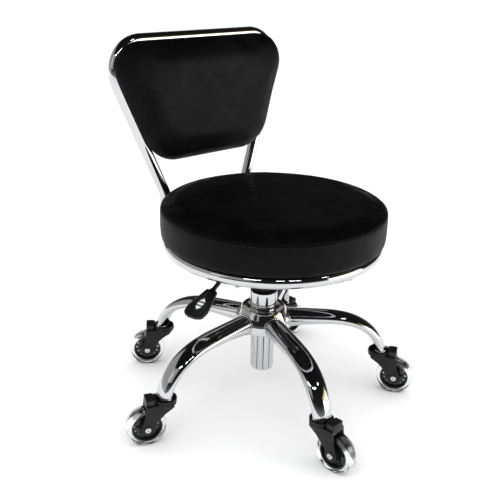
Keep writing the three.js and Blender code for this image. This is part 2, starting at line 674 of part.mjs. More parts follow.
const barHalf = (up) => halfAt(up) - 8.8;
const [barLow, barHigh] = CROSSBAR_SPAN;
const crossbarShape = outline([
  [-barHalf(barLow), barLow], [barHalf(barLow), barLow],
  [barHalf(barHigh), barHigh], [-barHalf(barHigh), barHigh],
]);
const crossbar = cut(raised(crossbarShape, ...CROSSBAR), ...screwHoles);
add('backrest_crossbar', inPlane(geometryOf(crossbar)), BLACK_STEEL);

BACK_SCREWS.forEach(([x, y], i) => {
  const headFrom = CROSSBAR[0] - GAP;
  const screw = turned([
    [0, headFrom - 2.4], [4, headFrom - 2.4], [4, headFrom], [SCREW_R, headFrom], [SCREW_R, 16.4], [0, 16.4],
  ], SMALL_SEGMENTS).translate(x, y, 0);
  add(`backrest_screw_${i + 1}`, inPlane(screw), STEEL);
});

// ---------------------------------------------------------------- lever

const leverFrame = new THREE.Group();
leverFrame.rotation.z = radians(LEVER_DEG);
stool.add(leverFrame);

const leverPath = rounded([
  new THREE.Vector3(-3, 0, LEVER_Z),
  new THREE.Vector3(LEVER_BEND[0], 0, LEVER_BEND[1]),
  new THREE.Vector3(LEVER_END[0], 0, LEVER_END[1]),
], [25], 12);
const leverBody = solid(swept(leverPath, roundSection(LEVER_R), 4))
  .add(solid(new THREE.BoxGeometry(14, 10, 10).translate(PIVOT_AT, 0, LEVER_Z)))
  .subtract(solid(new THREE.CylinderGeometry(PIVOT_R + GAP, PIVOT_R + GAP, 40, SMALL_SEGMENTS)
    .translate(PIVOT_AT, 0, LEVER_Z)));
add('lever_rod', geometryOf(leverBody), BLACK_STEEL, leverFrame);

const pivotPin = new THREE.CylinderGeometry(PIVOT_R, PIVOT_R, 21, SMALL_SEGMENTS);
add('lever_pivot_pin', weld(pivotPin.translate(PIVOT_AT, 0, LEVER_Z)), STEEL, leverFrame);

// The paddle is drawn flat, tipped to the lever's droop and bored for the rod's end.
function paddleShape() {
  const shape = new THREE.Shape();
  const endR = PADDLE_WIDTH / 2;
  const shoulder = PADDLE_LENGTH - endR * 0.75;
  shape.moveTo(0, -PADDLE_NECK / 2);
  shape.lineTo(shoulder, -endR);
  shape.absellipse(shoulder, 0, endR * 0.75, endR, -Math.PI / 2, Math.PI / 2, false, 0);
  shape.lineTo(0, PADDLE_NECK / 2);
  return shape;
}

const droop = Math.atan2(LEVER_BEND[1] - LEVER_END[1], LEVER_END[0] - LEVER_BEND[0]);
const paddleZ = LEVER_BEND[1] - (PADDLE_FROM - LEVER_BEND[0]) * Math.tan(droop);
const paddleBlank = new THREE.ExtrudeGeometry(paddleShape(), {
  depth: PADDLE_THICKNESS - 3,
  bevelEnabled: true,
  bevelThickness: 1.5,
  bevelSize: 1.5,
  bevelOffset: -1.5,
  bevelSegments: 1,
  curveSegments: 5,
}).translate(0, 0, 1.5 - PADDLE_THICKNESS / 2);
const socketCut = new THREE.BoxGeometry(24, 2 * (LEVER_R + GAP), 20);
const paddle = cut(paddleBlank, socketCut);
const paddlePlaced = geometryOf(paddle).rotateY(droop).translate(PADDLE_FROM, 0, paddleZ);
add('lever_paddle', paddlePlaced, BLACK_PLASTIC, leverFrame);

export default stool;
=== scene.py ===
import math

import bmesh
import bpy
import numpy as np
from mathutils import Matrix, Vector


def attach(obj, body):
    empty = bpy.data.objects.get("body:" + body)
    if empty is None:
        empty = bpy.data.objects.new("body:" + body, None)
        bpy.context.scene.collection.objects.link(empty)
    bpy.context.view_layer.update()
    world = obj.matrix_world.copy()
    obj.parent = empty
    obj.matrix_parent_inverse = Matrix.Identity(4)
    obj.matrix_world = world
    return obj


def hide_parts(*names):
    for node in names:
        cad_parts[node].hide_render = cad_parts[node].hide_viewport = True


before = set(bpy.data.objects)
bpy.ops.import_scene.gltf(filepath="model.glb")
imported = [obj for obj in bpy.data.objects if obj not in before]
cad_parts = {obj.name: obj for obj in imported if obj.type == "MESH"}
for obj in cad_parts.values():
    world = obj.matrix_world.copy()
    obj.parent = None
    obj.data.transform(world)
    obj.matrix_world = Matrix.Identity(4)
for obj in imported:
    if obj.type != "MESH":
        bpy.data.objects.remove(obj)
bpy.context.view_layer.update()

scene = bpy.context.scene
MM = 0.001

# -------- dimensions, in mm and degrees

LEG_COUNT = 5
LEG_ANGLES = [-106.6 + 360 / LEG_COUNT * i for i in range(LEG_COUNT)]
LEG_LINE = [(40, 171.6), (113, 170.5), (181, 159), (216, 138.5), (236, 113), (244, 92)]
LEG_WIDTHS = ((0, 0.4, 0.7, 1), (41, 44, 42, 36))
LEG_DEPTHS = ((0, 0.3, 0.7, 1), (38, 28, 22, 21.6))
LEG_WALL = 2.0
LEG_HOLLOW = 8  # the step of the leg's line where the hollow at its root stops
LEG_RIM = [(2.6, 0), (2.3, 0.5), (1.6, 0.9), (0.7, 0.9), (0.1, 0.4), (0, -0.4), (0.5, -1.8), (0.9, -6)]
HUB_OUTER = [(53, 157), (54, 159), (54, 172.5), (52.3, 178), (48.5, 187), (44, 195.5), (41, 200)]
HUB_BORE_R = 22.7
HUB_BOTTOM = 142

STEM_CIRCLE_R = 242
CASTER_HEADINGS = [-84, -58, 2, 145, 158]
TRAIL = 35.5
WHEEL_R = 37.5
CORE_R = 28.2

SEAT_Y = -20.2
BOARD_R = 190
BOARD_BOTTOM = 352.3
BOARD_TOP = 363.3
RING_R = 194
RING_Z = 341
TUBE_R = 11

RECLINE = math.radians(6.34)
HOOP_ORIGIN = np.array([0, 180.0, 420.0])
HOOP_HALF = 109.4
HOOP_SPREAD = 0.393
HOOP_TOP = 271.3
HOOP_KINK = -18
RUN_Z = 318.7
RUN_END_Y = 15
RUN_X = HOOP_HALF + HOOP_SPREAD * HOOP_KINK

LEVER_DEG = 195
LEVER_Z = 340
LEVER_END = (176, 288.4)
LEVER_BEND = (60, LEVER_Z)
PIVOT_AT = 24
PADDLE_FROM = 168

# -------- materials


class Look:
    """A Principled material being put together; texture sizes are given in millimetres."""

    def __init__(self, name, colour, **values):
        self.material = bpy.data.materials.new(name)
        self.material.use_nodes = True
        self.nodes = self.material.node_tree.nodes
        self.links = self.material.node_tree.links
        self.shader = self.nodes["Principled BSDF"]
        self.shader.inputs["Base Color"].default_value = (*colour, 1)
        for key, value in values.items():
            self.shader.inputs[key.replace("_", " ")].default_value = value
        self.place = self.nodes.new("ShaderNodeTexCoord").outputs["Object"]
        self.normal = None

    def node(self, kind, **values):
        made = self.nodes.new(kind)
        for key, value in values.items():
            if hasattr(value, "links"):
                self.links.new(value, made.inputs[key.replace("_", " ")])
            else:
                made.inputs[key.replace("_", " ")].default_value = value
        return made

    def noise(self, size, detail=3.0, stretch=(1, 1, 1)):
        place = self.node("ShaderNodeMapping", Vector=self.place, Scale=stretch).outputs["Vector"]
        made = self.node("ShaderNodeTexNoise", Vector=place, Detail=detail, Scale=1 / (size * MM))
        return made.outputs["Fac"]

    def cells(self, size, feature="F1"):
        made = self.node("ShaderNodeTexVoronoi", Vector=self.place, Scale=1 / (size * MM))
        made.feature = feature
        return made.outputs["Distance"]

    def remap(self, value, low, high, to_low, to_high):
        ends = {"From Min": low, "From Max": high, "To Min": to_low, "To Max": to_high}
        return self.node("ShaderNodeMapRange", Value=value, **ends).outputs["Result"]

    def roughness(self, noise, low, high):
        """Roughness from low to high by a noise, given as its size, detail and stretch."""
        self.links.new(self.remap(self.noise(*noise), 0.3, 0.7, low, high), self.shader.inputs["Roughness"])

    def tint(self, noise, low, high, other):
        """Mixes the base colour towards another where the noise goes from low to high."""
        value = self.noise(*noise)
        made = self.nodes.new("ShaderNodeMix")
        made.data_type = "RGBA"
        self.links.new(self.remap(value, low, high, 0, 1), made.inputs["Factor"])
        base = self.shader.inputs["Base Color"]
        if base.links:
            self.links.new(base.links[0].from_socket, made.inputs["A"])
        else:
            made.inputs["A"].default_value = base.default_value
        made.inputs["B"].default_value = (*other, 1)
        self.links.new(made.outputs["Result"], base)

    def bump(self, height, depth, strength=1.0):
        made = self.node("ShaderNodeBump", Height=height, Strength=strength, Distance=depth * MM)
        if self.normal:
            self.links.new(self.normal, made.inputs["Normal"])
        self.normal = made.outputs["Normal"]
        self.links.new(self.normal, self.shader.inputs["Normal"])
        return self


def chrome_look():
    look = Look("mirror_chrome", (0.6, 0.605, 0.62), Metallic=1.0)
    look.roughness((38, 4), 0.02, 0.065)
    look.tint((90, 2), 0.45, 0.75, (0.55, 0.55, 0.555))
    look.bump(look.noise(22, 1), 0.05, 0.5)
    return look.bump(look.noise(0.5, 2, (1, 1, 0.12)), 0.0015, 0.4).material


# A darker chrome for the floors of the sleeve's grooves: painted shade in the recesses, darker still in
# patches.
def painted_groove_shade_look():
    look = Look("chrome_with_painted_groove_shade", (0.2, 0.195, 0.19), Metallic=1.0)
    look.roughness((6, 4), 0.12, 0.3)
    look.tint((2.5, 4, (1, 1, 0.2)), 0.5, 0.75, (0.09, 0.085, 0.08))
    return look.bump(look.noise(0.6, 2), 0.01).material


def steel_look():
    look = Look("zinc_plated_steel", (0.63, 0.64, 0.65), Metallic=1.0)
    look.roughness((3, 3), 0.2, 0.36)
    look.tint((5, 2), 0.5, 0.8, (0.62, 0.58, 0.47))
    return look.bump(look.noise(0.5, 3), 0.012).material


def powder_coat_look():
    look = Look("black_powder_coat", (0.012, 0.012, 0.013), Specular_IOR_Level=0.45)
    look.roughness((8, 3), 0.36, 0.5)
    look.tint((30, 5), 0.6, 0.85, (0.026, 0.026, 0.027))
    return look.bump(look.noise(0.9, 2), 0.03).material


def nylon_look():
    look = Look("moulded_black_nylon", (0.0045, 0.0045, 0.005), Specular_IOR_Level=0.3)
    look.roughness((14, 4), 0.34, 0.5)
    look.tint((9, 6), 0.58, 0.8, (0.011, 0.011, 0.012))
    look.bump(look.noise(16, 1), 0.08, 0.5)
    return look.bump(look.noise(0.4, 2), 0.02).material


def grip_look():
    look = Look("pebbled_side_pad", (0.02, 0.02, 0.021), Specular_IOR_Level=0.4)
    look.roughness((3, 2), 0.5, 0.7)
    look.bump(look.cells(1.1), 0.25)
    return look.bump(look.noise(0.4, 2), 0.03).material


def core_look():
    look = Look("glossy_black_core", (0.008, 0.008, 0.009), Specular_IOR_Level=0.5)
    look.roughness((6, 3), 0.14, 0.26)
    look.tint((4, 5), 0.62, 0.8, (0.02, 0.02, 0.02))
    return look.bump(look.noise(0.6, 2), 0.008).material


def vinyl_look():
    look = Look("satin_black_vinyl", (0.0012, 0.0012, 0.0014), Specular_IOR_Level=0.09)
    look.roughness((26, 4), 0.44, 0.54)
    look.tint((70, 3), 0.45, 0.75, (0.0032, 0.0032, 0.0036))
    look.bump(look.noise(45, 2), 0.5, 0.5)
    look.bump(look.cells(1.2, "DISTANCE_TO_EDGE"), 0.035)
    return look.bump(look.noise(0.45, 3), 0.02).material


def dust_cloth_look():
    look = Look("black_dust_cloth", (0.008, 0.008, 0.0085), Specular_IOR_Level=0.15)
    look.roughness((4, 3), 0.82, 0.95)
    look.tint((2.2, 5, (1, 0.35, 1)), 0.5, 0.8, (0.017, 0.017, 0.018))
    look.bump(look.cells(2.4), 0.12)
    return look.bump(look.noise(0.5, 3), 0.05).material


def thread_look():
    look = Look("black_thread", (0.012, 0.012, 0.013), Specular_IOR_Level=0.35)
    look.roughness((2, 2), 0.45, 0.65)
    return look.bump(look.noise(0.25, 2), 0.05).material


def plywood_look():
    look = Look("plywood", (0.46, 0.32, 0.19), Specular_IOR_Level=0.25)
    look.roughness((6, 3), 0.62, 0.82)
    look.tint((6, 6, (1, 0.07, 1)), 0.42, 0.62, (0.33, 0.21, 0.11))
    look.tint((1.3, 3, (1, 0.05, 1)), 0.55, 0.75, (0.27, 0.17, 0.09))
    return look.bump(look.noise(1.1, 3, (1, 0.06, 1)), 0.08).material


def clear_look():
    look = Look("clear_polyurethane", (0.93, 0.95, 0.955), Transmission_Weight=1.0, IOR=1.48)
    look.roughness((5, 4), 0.0, 0.05)
    return look.bump(look.noise(7, 2), 0.03, 0.5).material


def brass_look():
    look = Look("brass", (0.72, 0.53, 0.25), Metallic=1.0)
    look.roughness((2, 3), 0.18, 0.34)
    look.tint((3, 3), 0.5, 0.75, (0.5, 0.34, 0.16))
    return look.bump(look.noise(0.3, 2), 0.006).material


def print_look():
    look = Look("white_print", (0.78, 0.79, 0.8), Specular_IOR_Level=0.35)
    look.roughness((2, 3), 0.45, 0.65)
    look.tint((1.1, 4), 0.56, 0.75, (0.5, 0.5, 0.5))
    return look.bump(look.noise(0.4, 2), 0.01).material


# Each look with the slot that it fills; the painted shade in the grooves is a second look on a chrome piece.
CHROME = "chrome", chrome_look()
PAINTED_GROOVE_SHADE = painted_groove_shade_look()
STEEL = "plated_steel", steel_look()
POWDER = "black_steel", powder_coat_look()
NYLON = "black_nylon", nylon_look()
GRIP = "black_nylon", grip_look()
CORE = "black_nylon", core_look()
VINYL = "vinyl", vinyl_look()
DUST_CLOTH = "vinyl", dust_cloth_look()
THREAD = "vinyl", thread_look()
PLYWOOD = "plywood", plywood_look()
CLEAR = "clear_tyre", clear_look()
BRASS = "brass", brass_look()
PRINT = "black_nylon", print_look()

# -------- shapes: (points, faces), in mm


def unit(v):
    return v / np.maximum(np.linalg.norm(v, axis=-1, keepdims=True), 1e-12)


def skin(rings, closed=False):
    """A surface over rings of points; a ring of one point is a tip, and open ends are capped."""
    points, faces, start = [], [], []
    for ring in rings:
        start.append(len(points))
        points.extend(ring)
    count = len(rings)
    for i in range(count if closed else count - 1):
        k = (i + 1) % count
        a, b, n = start[i], start[k], max(len(rings[i]), len(rings[k]))
        for j in range(n):
            m = (j + 1) % n
            if len(rings[i]) == 1:
                faces.append((a, b + m, b + j))
            elif len(rings[k]) == 1:
                faces.append((a + j, a + m, b))
            else:
                faces.append((a + j, a + m, b + m, b + j))
    for i in () if closed else (0, count - 1):
        if len(rings[i]) > 1:
            faces.append(tuple(range(start[i], start[i] + len(rings[i]))))
    return np.array([tuple(p) for p in points], float), faces


def merged(*shapes):
    points, faces, base = [], [], 0
    for p, f in shapes:
        points.append(p)
        faces += [tuple(i + base for i in face) for face in f]
        base += len(p)
    return np.concatenate(points), faces


def moved(shape, matrix):
    m = np.array(matrix, float)
    return shape[0] @ m[:3, :3].T + m[:3, 3], shape[1]


def shift(x=0, y=0, z=0):
    return Matrix.Translation((x, y, z))


def turn(degrees, axis="Z"):
    return Matrix.Rotation(math.radians(degrees), 4, axis)


def fillet(points, radius, steps=5, closed=False):
    """A polyline with rounded corners; radius is one number, or one for each point."""
    p = [np.array(q, float) for q in points]
    n, out = len(p), []
    for i in range(n):
        r = radius[i] if hasattr(radius, "__len__") else radius
        back, ahead = p[i - 1] - p[i], p[(i + 1) % n] - p[i]
        room = min(np.linalg.norm(back), np.linalg.norm(ahead)) * 0.49
        back, ahead = unit(back), unit(ahead)
        bend = math.pi - math.acos(float(np.clip(back @ ahead, -1, 1)))
        if r <= 0 or bend < 0.02 or (not closed and i in (0, n - 1)):
            out.append(p[i])
            continue
        cut = min(r * math.tan(bend / 2), room)
        true_r = cut / math.tan(bend / 2)
        centre = p[i] + unit(back + ahead) * true_r / math.cos(bend / 2)
        start, end = p[i] + back * cut - centre, p[i] + ahead * cut - centre
        for k in range(steps + 1):
            t = k / steps
            mix = (math.sin((1 - t) * bend) * start + math.sin(t * bend) * end) / math.sin(bend)
            out.append(centre + mix)
    return out


def arc(r, degrees, x=0, y=0):
    return [(x + r * math.cos(math.radians(a)), y + r * math.sin(math.radians(a))) for a in degrees]


def circle(r, sides):
    turns = [2 * math.pi * j / sides for j in range(sides)]
    return [(r * math.cos(a), r * math.sin(a)) for a in turns]


def oblong(half_x, half_y, x=0):
    return [(x - half_x, -half_y), (x + half_x, -half_y), (x + half_x, half_y), (x - half_x, half_y)]


def lathe(profile, segments=64, closed=False):
    """A profile of (radius, height) turned about Z."""
    rings = []
    for r, z in profile:
        rings.append([(0, 0, z)] if r < 1e-6 else [(x, y, z) for x, y in circle(r, segments)])
    return skin(rings, closed)


def turned(profile, rounding, segments, steps=3):
    """A lathe with rounded corners; a profile that starts off the axis closes on itself."""
    closed = profile[0][0] > 0
    return lathe(fillet(profile, rounding, steps, closed), segments, closed)


def cylinder(r, low, high, segments):
    return lathe([(0, low), (r, low), (r, high), (0, high)], segments)


def inset(loop, by):
    """A closed anticlockwise 2-D loop drawn in by a distance."""
    p = np.array(loop, float)
    before, after = unit(p - np.roll(p, 1, 0)), unit(np.roll(p, -1, 0) - p)
    a, b = np.stack([-before[:, 1], before[:, 0]], 1), np.stack([-after[:, 1], after[:, 0]], 1)
    return p + (a + b) * (by / (1 + (a * b).sum(1)))[:, None]


def slab(loop, low, high, soft=1.0, soft_high=None, steps=3):
    """A closed loop raised from one height to another, with rounded edges."""
    levels = []
    for end, edge in ((low, soft), (high, soft if soft_high is None else soft_high)):
        way = 1 if end == low else -1
        part = []
        for k in range(steps + 1):
            a = math.pi / 2 * k / steps
            part.append((edge * (1 - math.sin(a)), end + way * edge * (1 - math.cos(a))))
        levels += part if way == 1 else part[::-1]
    return skin([[(x, y, z) for x, y in inset(loop, by)] for by, z in levels])


def sideways(loop, half, soft=1.0):
    """A loop of (x, z) given a width across Y."""
    p, f = slab(loop, -half, half, soft)
    return p[:, [0, 2, 1]], f


def axled(shape):
    """Turns a lathe about Z into one about Y."""
    return shape[0][:, [0, 2, 1]], shape[1]


def frames(path, closed=False):
    """Tangents and two turning-free normals along a path."""
    p = np.array(path, float)
    if closed:
        t = unit(np.roll(p, -1, 0) - np.roll(p, 1, 0))
    else:
        step = unit(np.diff(p, axis=0))
        t = unit(np.concatenate([step[:1], step[1:] + step[:-1], step[-1:]]))
    side = np.cross(t[0], [0, 0, 1.0] if abs(t[0][2]) < 0.9 else [0, 1.0, 0])
    a = [unit(side)]
    for i in range(1, len(p)):
        a.append(unit(a[-1] - (a[-1] @ t[i]) * t[i]))
    a = np.array(a)
    if closed:
        last = unit(a[-1] - (a[-1] @ t[0]) * t[0])
        off = math.atan2(np.cross(last, a[0]) @ t[0], last @ a[0])
        spin = np.linspace(0, off, len(p), endpoint=False)[:, None]
        a = a * np.cos(spin) + np.cross(t, a) * np.sin(spin)
    return t, a, np.cross(t, a)


def sweep(path, radius, sides=24, closed=False):
    """A round tube along a path; radius is one number, or one for each point."""
    p = np.array(path, float)
    _, a, b = frames(p, closed)
    r = np.broadcast_to(radius, len(p))
    ring = circle(1, sides)
    return skin([[p[i] + (a[i] * u + b[i] * v) * r[i] for u, v in ring] for i in range(len(p))], closed)


def spline_weights(at, wanted):
    """Weights that give a natural cubic through values at some places, at the wanted places."""
    n, h = len(at), np.diff(at)
    lhs, rhs = np.eye(n), np.zeros((n, n))
    for i in range(1, n - 1):
        lhs[i, i - 1:i + 2] = h[i - 1], 2 * (h[i - 1] + h[i]), h[i]
        rhs[i, i - 1:i + 2] = 6 / h[i - 1], -6 / h[i - 1] - 6 / h[i], 6 / h[i]
    bend = np.linalg.solve(lhs, rhs)
    k = np.clip(np.searchsorted(at, wanted, side="right") - 1, 0, n - 2)
    a = ((at[k + 1] - wanted) / h[k])[:, None]
    b, eye, hh = 1 - a, np.eye(n), (h[k] ** 2 / 6)[:, None]
    return a * eye[k] + b * eye[k + 1] + ((a**3 - a) * bend[k] + (b**3 - b) * bend[k + 1]) * hh


def lengths(points):
    return np.concatenate([[0], np.cumsum(np.linalg.norm(np.diff(points, axis=0), axis=1))])


def spline(points, count):
    """Evenly spaced points on a smooth curve through the given ones."""
    p = np.array(points, float)
    at = lengths(p)
    fine = spline_weights(at, np.linspace(0, at[-1], 600)) @ p
    run = lengths(fine)
    even = np.linspace(0, run[-1], count)
    return np.stack([np.interp(even, run, fine[:, k]) for k in range(p.shape[1])], 1)


def mesh_of(shape, name, sharp=35, scale=MM):
    mesh = bpy.data.meshes.new(name)
    mesh.from_pydata((shape[0] * scale).tolist(), [], shape[1])
    clean(mesh, sharp, 1e-4 * scale)
    return mesh


def clean(mesh, sharp, near):
    bm = bmesh.new()
    bm.from_mesh(mesh)
    bmesh.ops.remove_doubles(bm, verts=bm.verts, dist=near)
    bmesh.ops.dissolve_degenerate(bm, edges=bm.edges, dist=near)
    bmesh.ops.recalc_face_normals(bm, faces=bm.faces)
    bm.to_mesh(mesh)
    bm.free()
    mesh.polygons.foreach_set("use_smooth", np.ones(len(mesh.polygons), bool))
    mesh.set_sharp_from_angle(angle=math.radians(sharp))
    mesh.update()


def linked(name, data):
    made = bpy.data.objects.new(name, data)
    scene.collection.objects.link(made)
    return made


def carved(name, base, *steps, sharp=35):
    """A mesh made from a base shape by ("UNION" or "DIFFERENCE", shape) steps."""
    work = linked(name, mesh_of(base, name, scale=1))
    for how, shape in steps:
        tool = linked("tool", mesh_of(shape, "tool", scale=1))
        edit = work.modifiers.new("edit", "BOOLEAN")
        edit.operation, edit.solver, edit.object = how, "EXACT", tool
        graph = bpy.context.evaluated_depsgraph_get()
        made = bpy.data.meshes.new_from_object(work.evaluated_get(graph))
        work.modifiers.clear()
        work.data = made
        bpy.data.objects.remove(tool)
    mesh = work.data
    bpy.data.objects.remove(work)
    mesh.transform(Matrix.Scale(MM, 4))
    clean(mesh, sharp, 1e-7)
    return mesh


def piece(name, mesh, body, look, *nodes, place=None):
    """Puts a mesh or shape on a body, with its look, in the place of CAD nodes."""
    slot, material = look
    if isinstance(mesh, tuple):
        mesh = mesh_of(mesh, name)
    made = linked(name, mesh)
    if place is not None:
        made.matrix_world = Matrix.Translation(place.translation * MM) @ place.to_3x3().to_4x4()
    if not mesh.materials:
        mesh.materials.append(material)
    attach(made, body)
    if nodes:
        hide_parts(*nodes)
    return made


# -------- star base


def leg_tube(count=64, sides=56):
    """The leg's line along +X, from root to end, with its directions, half sizes and unit section."""
    line = spline([(r, 0, z) for r, z in LEG_LINE], count)
    ahead = unit(np.gradient(line, axis=0))
    up = np.stack([-ahead[:, 2], 0 * ahead[:, 0], ahead[:, 0]], 1)
    share = np.linspace(0, 1, count)
    kernel = np.hanning(15)[1:-1] / np.hanning(15)[1:-1].sum()
    sizes = []
    for table in (LEG_WIDTHS, LEG_DEPTHS):
        raw = np.pad(np.interp(share, *table) / 2, 6, "edge")
        sizes.append(np.convolve(raw, kernel, "valid"))
    return line, ahead, up, sizes[0], sizes[1], circle(1, sides)


def leg_ring(line, up, half_width, half_depth, ring, grow=0.0):
    """The leg's section at one point of its line, grown by a distance all round."""
    return [line + up * (half_depth + grow) * v + np.array([0, (half_width + grow) * u, 0]) for u, v in ring]


def leg_shape():
    line, ahead, up, wide, deep, ring = leg_tube()
    rings = [leg_ring(line[i], up[i], wide[i], deep[i], ring, -LEG_WALL) for i in (LEG_HOLLOW, 0)]
    rings += [leg_ring(line[i], up[i], wide[i], deep[i], ring) for i in range(len(line) - 1)]
    end, way, out, w, d = line[-1], ahead[-1], up[-1], wide[-1], deep[-1]
    for back, grow in LEG_RIM:
        rings.append(leg_ring(end - way * back, out, w, d, ring, grow))
    rings.append([end - way * 0.9])
    return skin(rings)


def hub_radius(z):
    r, h = zip(*HUB_OUTER)
    return np.interp(z, h, r)


def weld_shape():
    """The bead where a leg enters the hub."""
    line, _, up, wide, deep, ring = leg_tube(count=400, sides=120)
    path = []
    for u, v in ring:
        skin_line = line + up * (deep * v)[:, None]
        skin_line[:, 1] += wide * u
        outside = np.hypot(skin_line[:, 0], skin_line[:, 1]) > hub_radius(skin_line[:, 2])
        path.append(skin_line[int(np.argmax(outside))])
    path = np.array(path)
    for _ in range(3):
        path = (np.roll(path, 1, 0) + 2 * path + np.roll(path, -1, 0)) / 4
    ripple = 1.9 + 0.16 * np.sin(np.arange(len(path)) * 2 * math.pi / 4)
    return sweep(path, ripple, 14, closed=True)


hub_profile = [(HUB_BORE_R, HUB_BOTTOM), (25.4, HUB_BOTTOM), (25.4, 184), (38, 184), (49.5, 170),
               (49.5, 157), *HUB_OUTER, (HUB_BORE_R, 200)]
hub_rounding = [0.4, 1.2, 2, 3, 4, 0.8, 0.8, 1, 10, 14, 14, 12, 1.8, 0.8]
piece("hub", turned(hub_profile, hub_rounding, 144, 5), "base", CHROME, "base_hub")

leg_mesh = mesh_of(leg_shape(), "leg")
weld_mesh = mesh_of(weld_shape(), "leg_weld")
for i, angle in enumerate(LEG_ANGLES):
    piece(f"leg_tube_{i + 1}", leg_mesh, "base", CHROME, f"leg_{i + 1}", place=turn(angle))
    piece(f"leg_weld_{i + 1}", weld_mesh, "base", CHROME, place=turn(angle))

# -------- gas lift

outer_tube = [(20, 146), (22.4, 146), (22.4, 200.3), (26.4, 200.3), (26.4, 206.2), (25.5, 206.8),
              (25.5, 208.2), (26.4, 208.8), (26.4, 232), (25.4, 233), (24.6, 233), (24.6, 222), (20, 222)]
piece("lift_outer_tube", turned(outer_tube, 0.5, 96), "base", CHROME, "gas_lift_outer_tube")
bushing = [(14.3, 170), (19.7, 170), (19.7, 222.3), (24.3, 222.3), (24.3, 230), (20, 231.4), (14.3, 231.4)]
piece("lift_bushing", turned(bushing, 0.8, 64), "base", NYLON, "guide_bushing")

FLUTES = 10
LOBE_R = 6.7
LOBE_AT = 16.5
SLEEVE_BOTTOM = 64
SLEEVE_TOP = 141.7
END_ROUND = 3.8
END_STEPS = 8
# The radii of the groove floors that get painted shade.
PAINTED_SHADE_RADII = (19, 20.9)


def fluted(limit, z, count=FLUTES * 18):
    """A ring of lobes that stand side by side, cut down to a largest radius."""
    ring = []
    for j in range(count):
        a = 2 * math.pi * j / count
        off = (a + math.pi / FLUTES) % (2 * math.pi / FLUTES) - math.pi / FLUTES
        lobe = LOBE_AT * math.cos(off) + math.sqrt(LOBE_R**2 - (LOBE_AT * math.sin(off)) ** 2)
        r = min(lobe, limit)
        ring.append((r * math.cos(a), r * math.sin(a), z))
    return ring


crest = LOBE_AT + LOBE_R
sleeve_rings = [fluted(crest - 0.8, SLEEVE_TOP), fluted(crest, SLEEVE_TOP - 0.8)]
for k in range(END_STEPS + 1):
    a = math.pi / 2 * k / END_STEPS
    rounded = SLEEVE_BOTTOM + END_ROUND * (1 - math.sin(a))
    sleeve_rings.append(fluted(crest - END_ROUND * (1 - math.cos(a)), rounded))
for r, rise in ((11.5, 0), (10.8, 0.8), (5.8, 0.8), (5.8, 6), (17, 6)):
    sleeve_rings.append(fluted(r, SLEEVE_BOTTOM + rise))
sleeve_rings.append(fluted(17, SLEEVE_TOP))
sleeve = piece("lift_fluted_sleeve", skin(sleeve_rings, closed=True), "base", CHROME, "fluted_sleeve")
sleeve.data.materials.append(PAINTED_GROOVE_SHADE)
# The faces on the groove floors take the darker chrome, which is painted shade.
for face in sleeve.data.polygons:
    x, y, z = face.center / MM
    if PAINTED_SHADE_RADII[0] < math.hypot(x, y) < PAINTED_SHADE_RADII[1] and z > SLEEVE_BOTTOM + 1.5:
        face.material_index = 1

LIFT_PARTS = [
    ("lift_thrust_bearing", "base", STEEL, "thrust_bearing",
     [(5.4, 70.4), (10.5, 70.4), (10.5, 75.3), (5.4, 75.3)]),
    ("lift_rod", "rod", STEEL, "piston_rod",
     [(0, 59.7), (9, 59.7), (9, 63.7), (5, 63.7), (5, 296), (0, 296)]),
    ("lift_piston", "rod", BRASS, "piston_head",
     [(5.2, 284), (11.4, 284), (11.4, 293), (5.2, 293)]),
    ("lift_column", "seat", POWDER, "lift_cylinder",
     [(12, 84), (14, 84), (14, 328), (2.9, 328), (2.9, 322), (12, 322)]),
    ("lift_valve_pin", "valve", STEEL, "valve_pin",
     [(0, 314), (2.4, 314), (2.4, 333), (4.5, 333), (4.5, 335.4), (0, 335.4)]),
]
for name, body, look, node, profile in LIFT_PARTS:
    piece(name, turned(profile, 0.6, 48), body, look, node)

# -------- casters, drawn with the wheel trailing along +X

SIDES = (-1, 1)
AT_AXLE = shift(TRAIL, 0, WHEEL_R)
SHARP = 0.01  # the rounding of a tool's edge that stays sharp


def mirrored(half):
    """A whole profile from its half above the middle."""
    return [(r, -z) for r, z in half] + half[::-1]


boss = arc(12.5, range(155, 371, 9), TRAIL, WHEEL_R)
fork_loop = fillet([(-14.5, 84), (-14.5, 76), (2, 65)], [0, 3, 8], 4)[1:] + boss
fork_loop = [(-14.5, 84)] + fork_loop + fillet([(41.5, 56), (37.5, 72), (36, 84)], 6, 4)
hood_corners = [(19.6, 80), (36, 80), (36, 95.5), (21.5, 95.5), (19.6, 93.5)]
hood_loop = fillet(hood_corners, [0, 0, 1.6, 1.2, 1.2], 3, closed=True)
well_profile = [(5.6, 72), (15.4, 72), (21.4, 80), (21.4, 83.4), (20.9, 84), (20.9, 87.2), (21.9, 88),
                (21.9, 90.3), (21, 91.2), (19.8, 91.2), (19.2, 90.4), (19.2, 84), (5.6, 84)]
peak_loop = arc(21.4, range(-24, 25, 4)) + arc(19.3, range(24, -25, -4))
fork_steps = [
    ("DIFFERENCE", moved(axled(cylinder(40, -12.7, 12.7, 96)), AT_AXLE)),
    ("UNION", sideways(hood_loop, 13, 0.9)),
    ("UNION", turned(well_profile, 0.5, 72, 2)),
    ("UNION", slab(peak_loop, 82, 97, 0.7, 0.9)),
]
disc = axled(turned([(0, 0), (9.2, 0), (8.6, 1.1), (0, 1.1)], 0.4, 48, 2))
for side in SIDES:
    disc_at = shift(TRAIL, side * 16.6, WHEEL_R) @ Matrix.Diagonal((1, side, 1, 1))
    fork_steps.append(("UNION", moved(disc, disc_at)))
fork_steps += [
    ("DIFFERENCE", cylinder(5.7, 60, 90, 32)),
    ("DIFFERENCE", moved(axled(cylinder(4.3, -30, 30, 32)), AT_AXLE)),
]
lug = slab(fillet(oblong(2, 1.4), 0.8, 2, closed=True), 81, 87.6, 0.5, 0.6)
for angle in range(60, 301, 60):
    fork_steps.append(("UNION", moved(lug, turn(angle) @ shift(20.6))))
fork_mesh = carved("fork", sideways(fork_loop, 17, 1.3), *fork_steps, sharp=32)

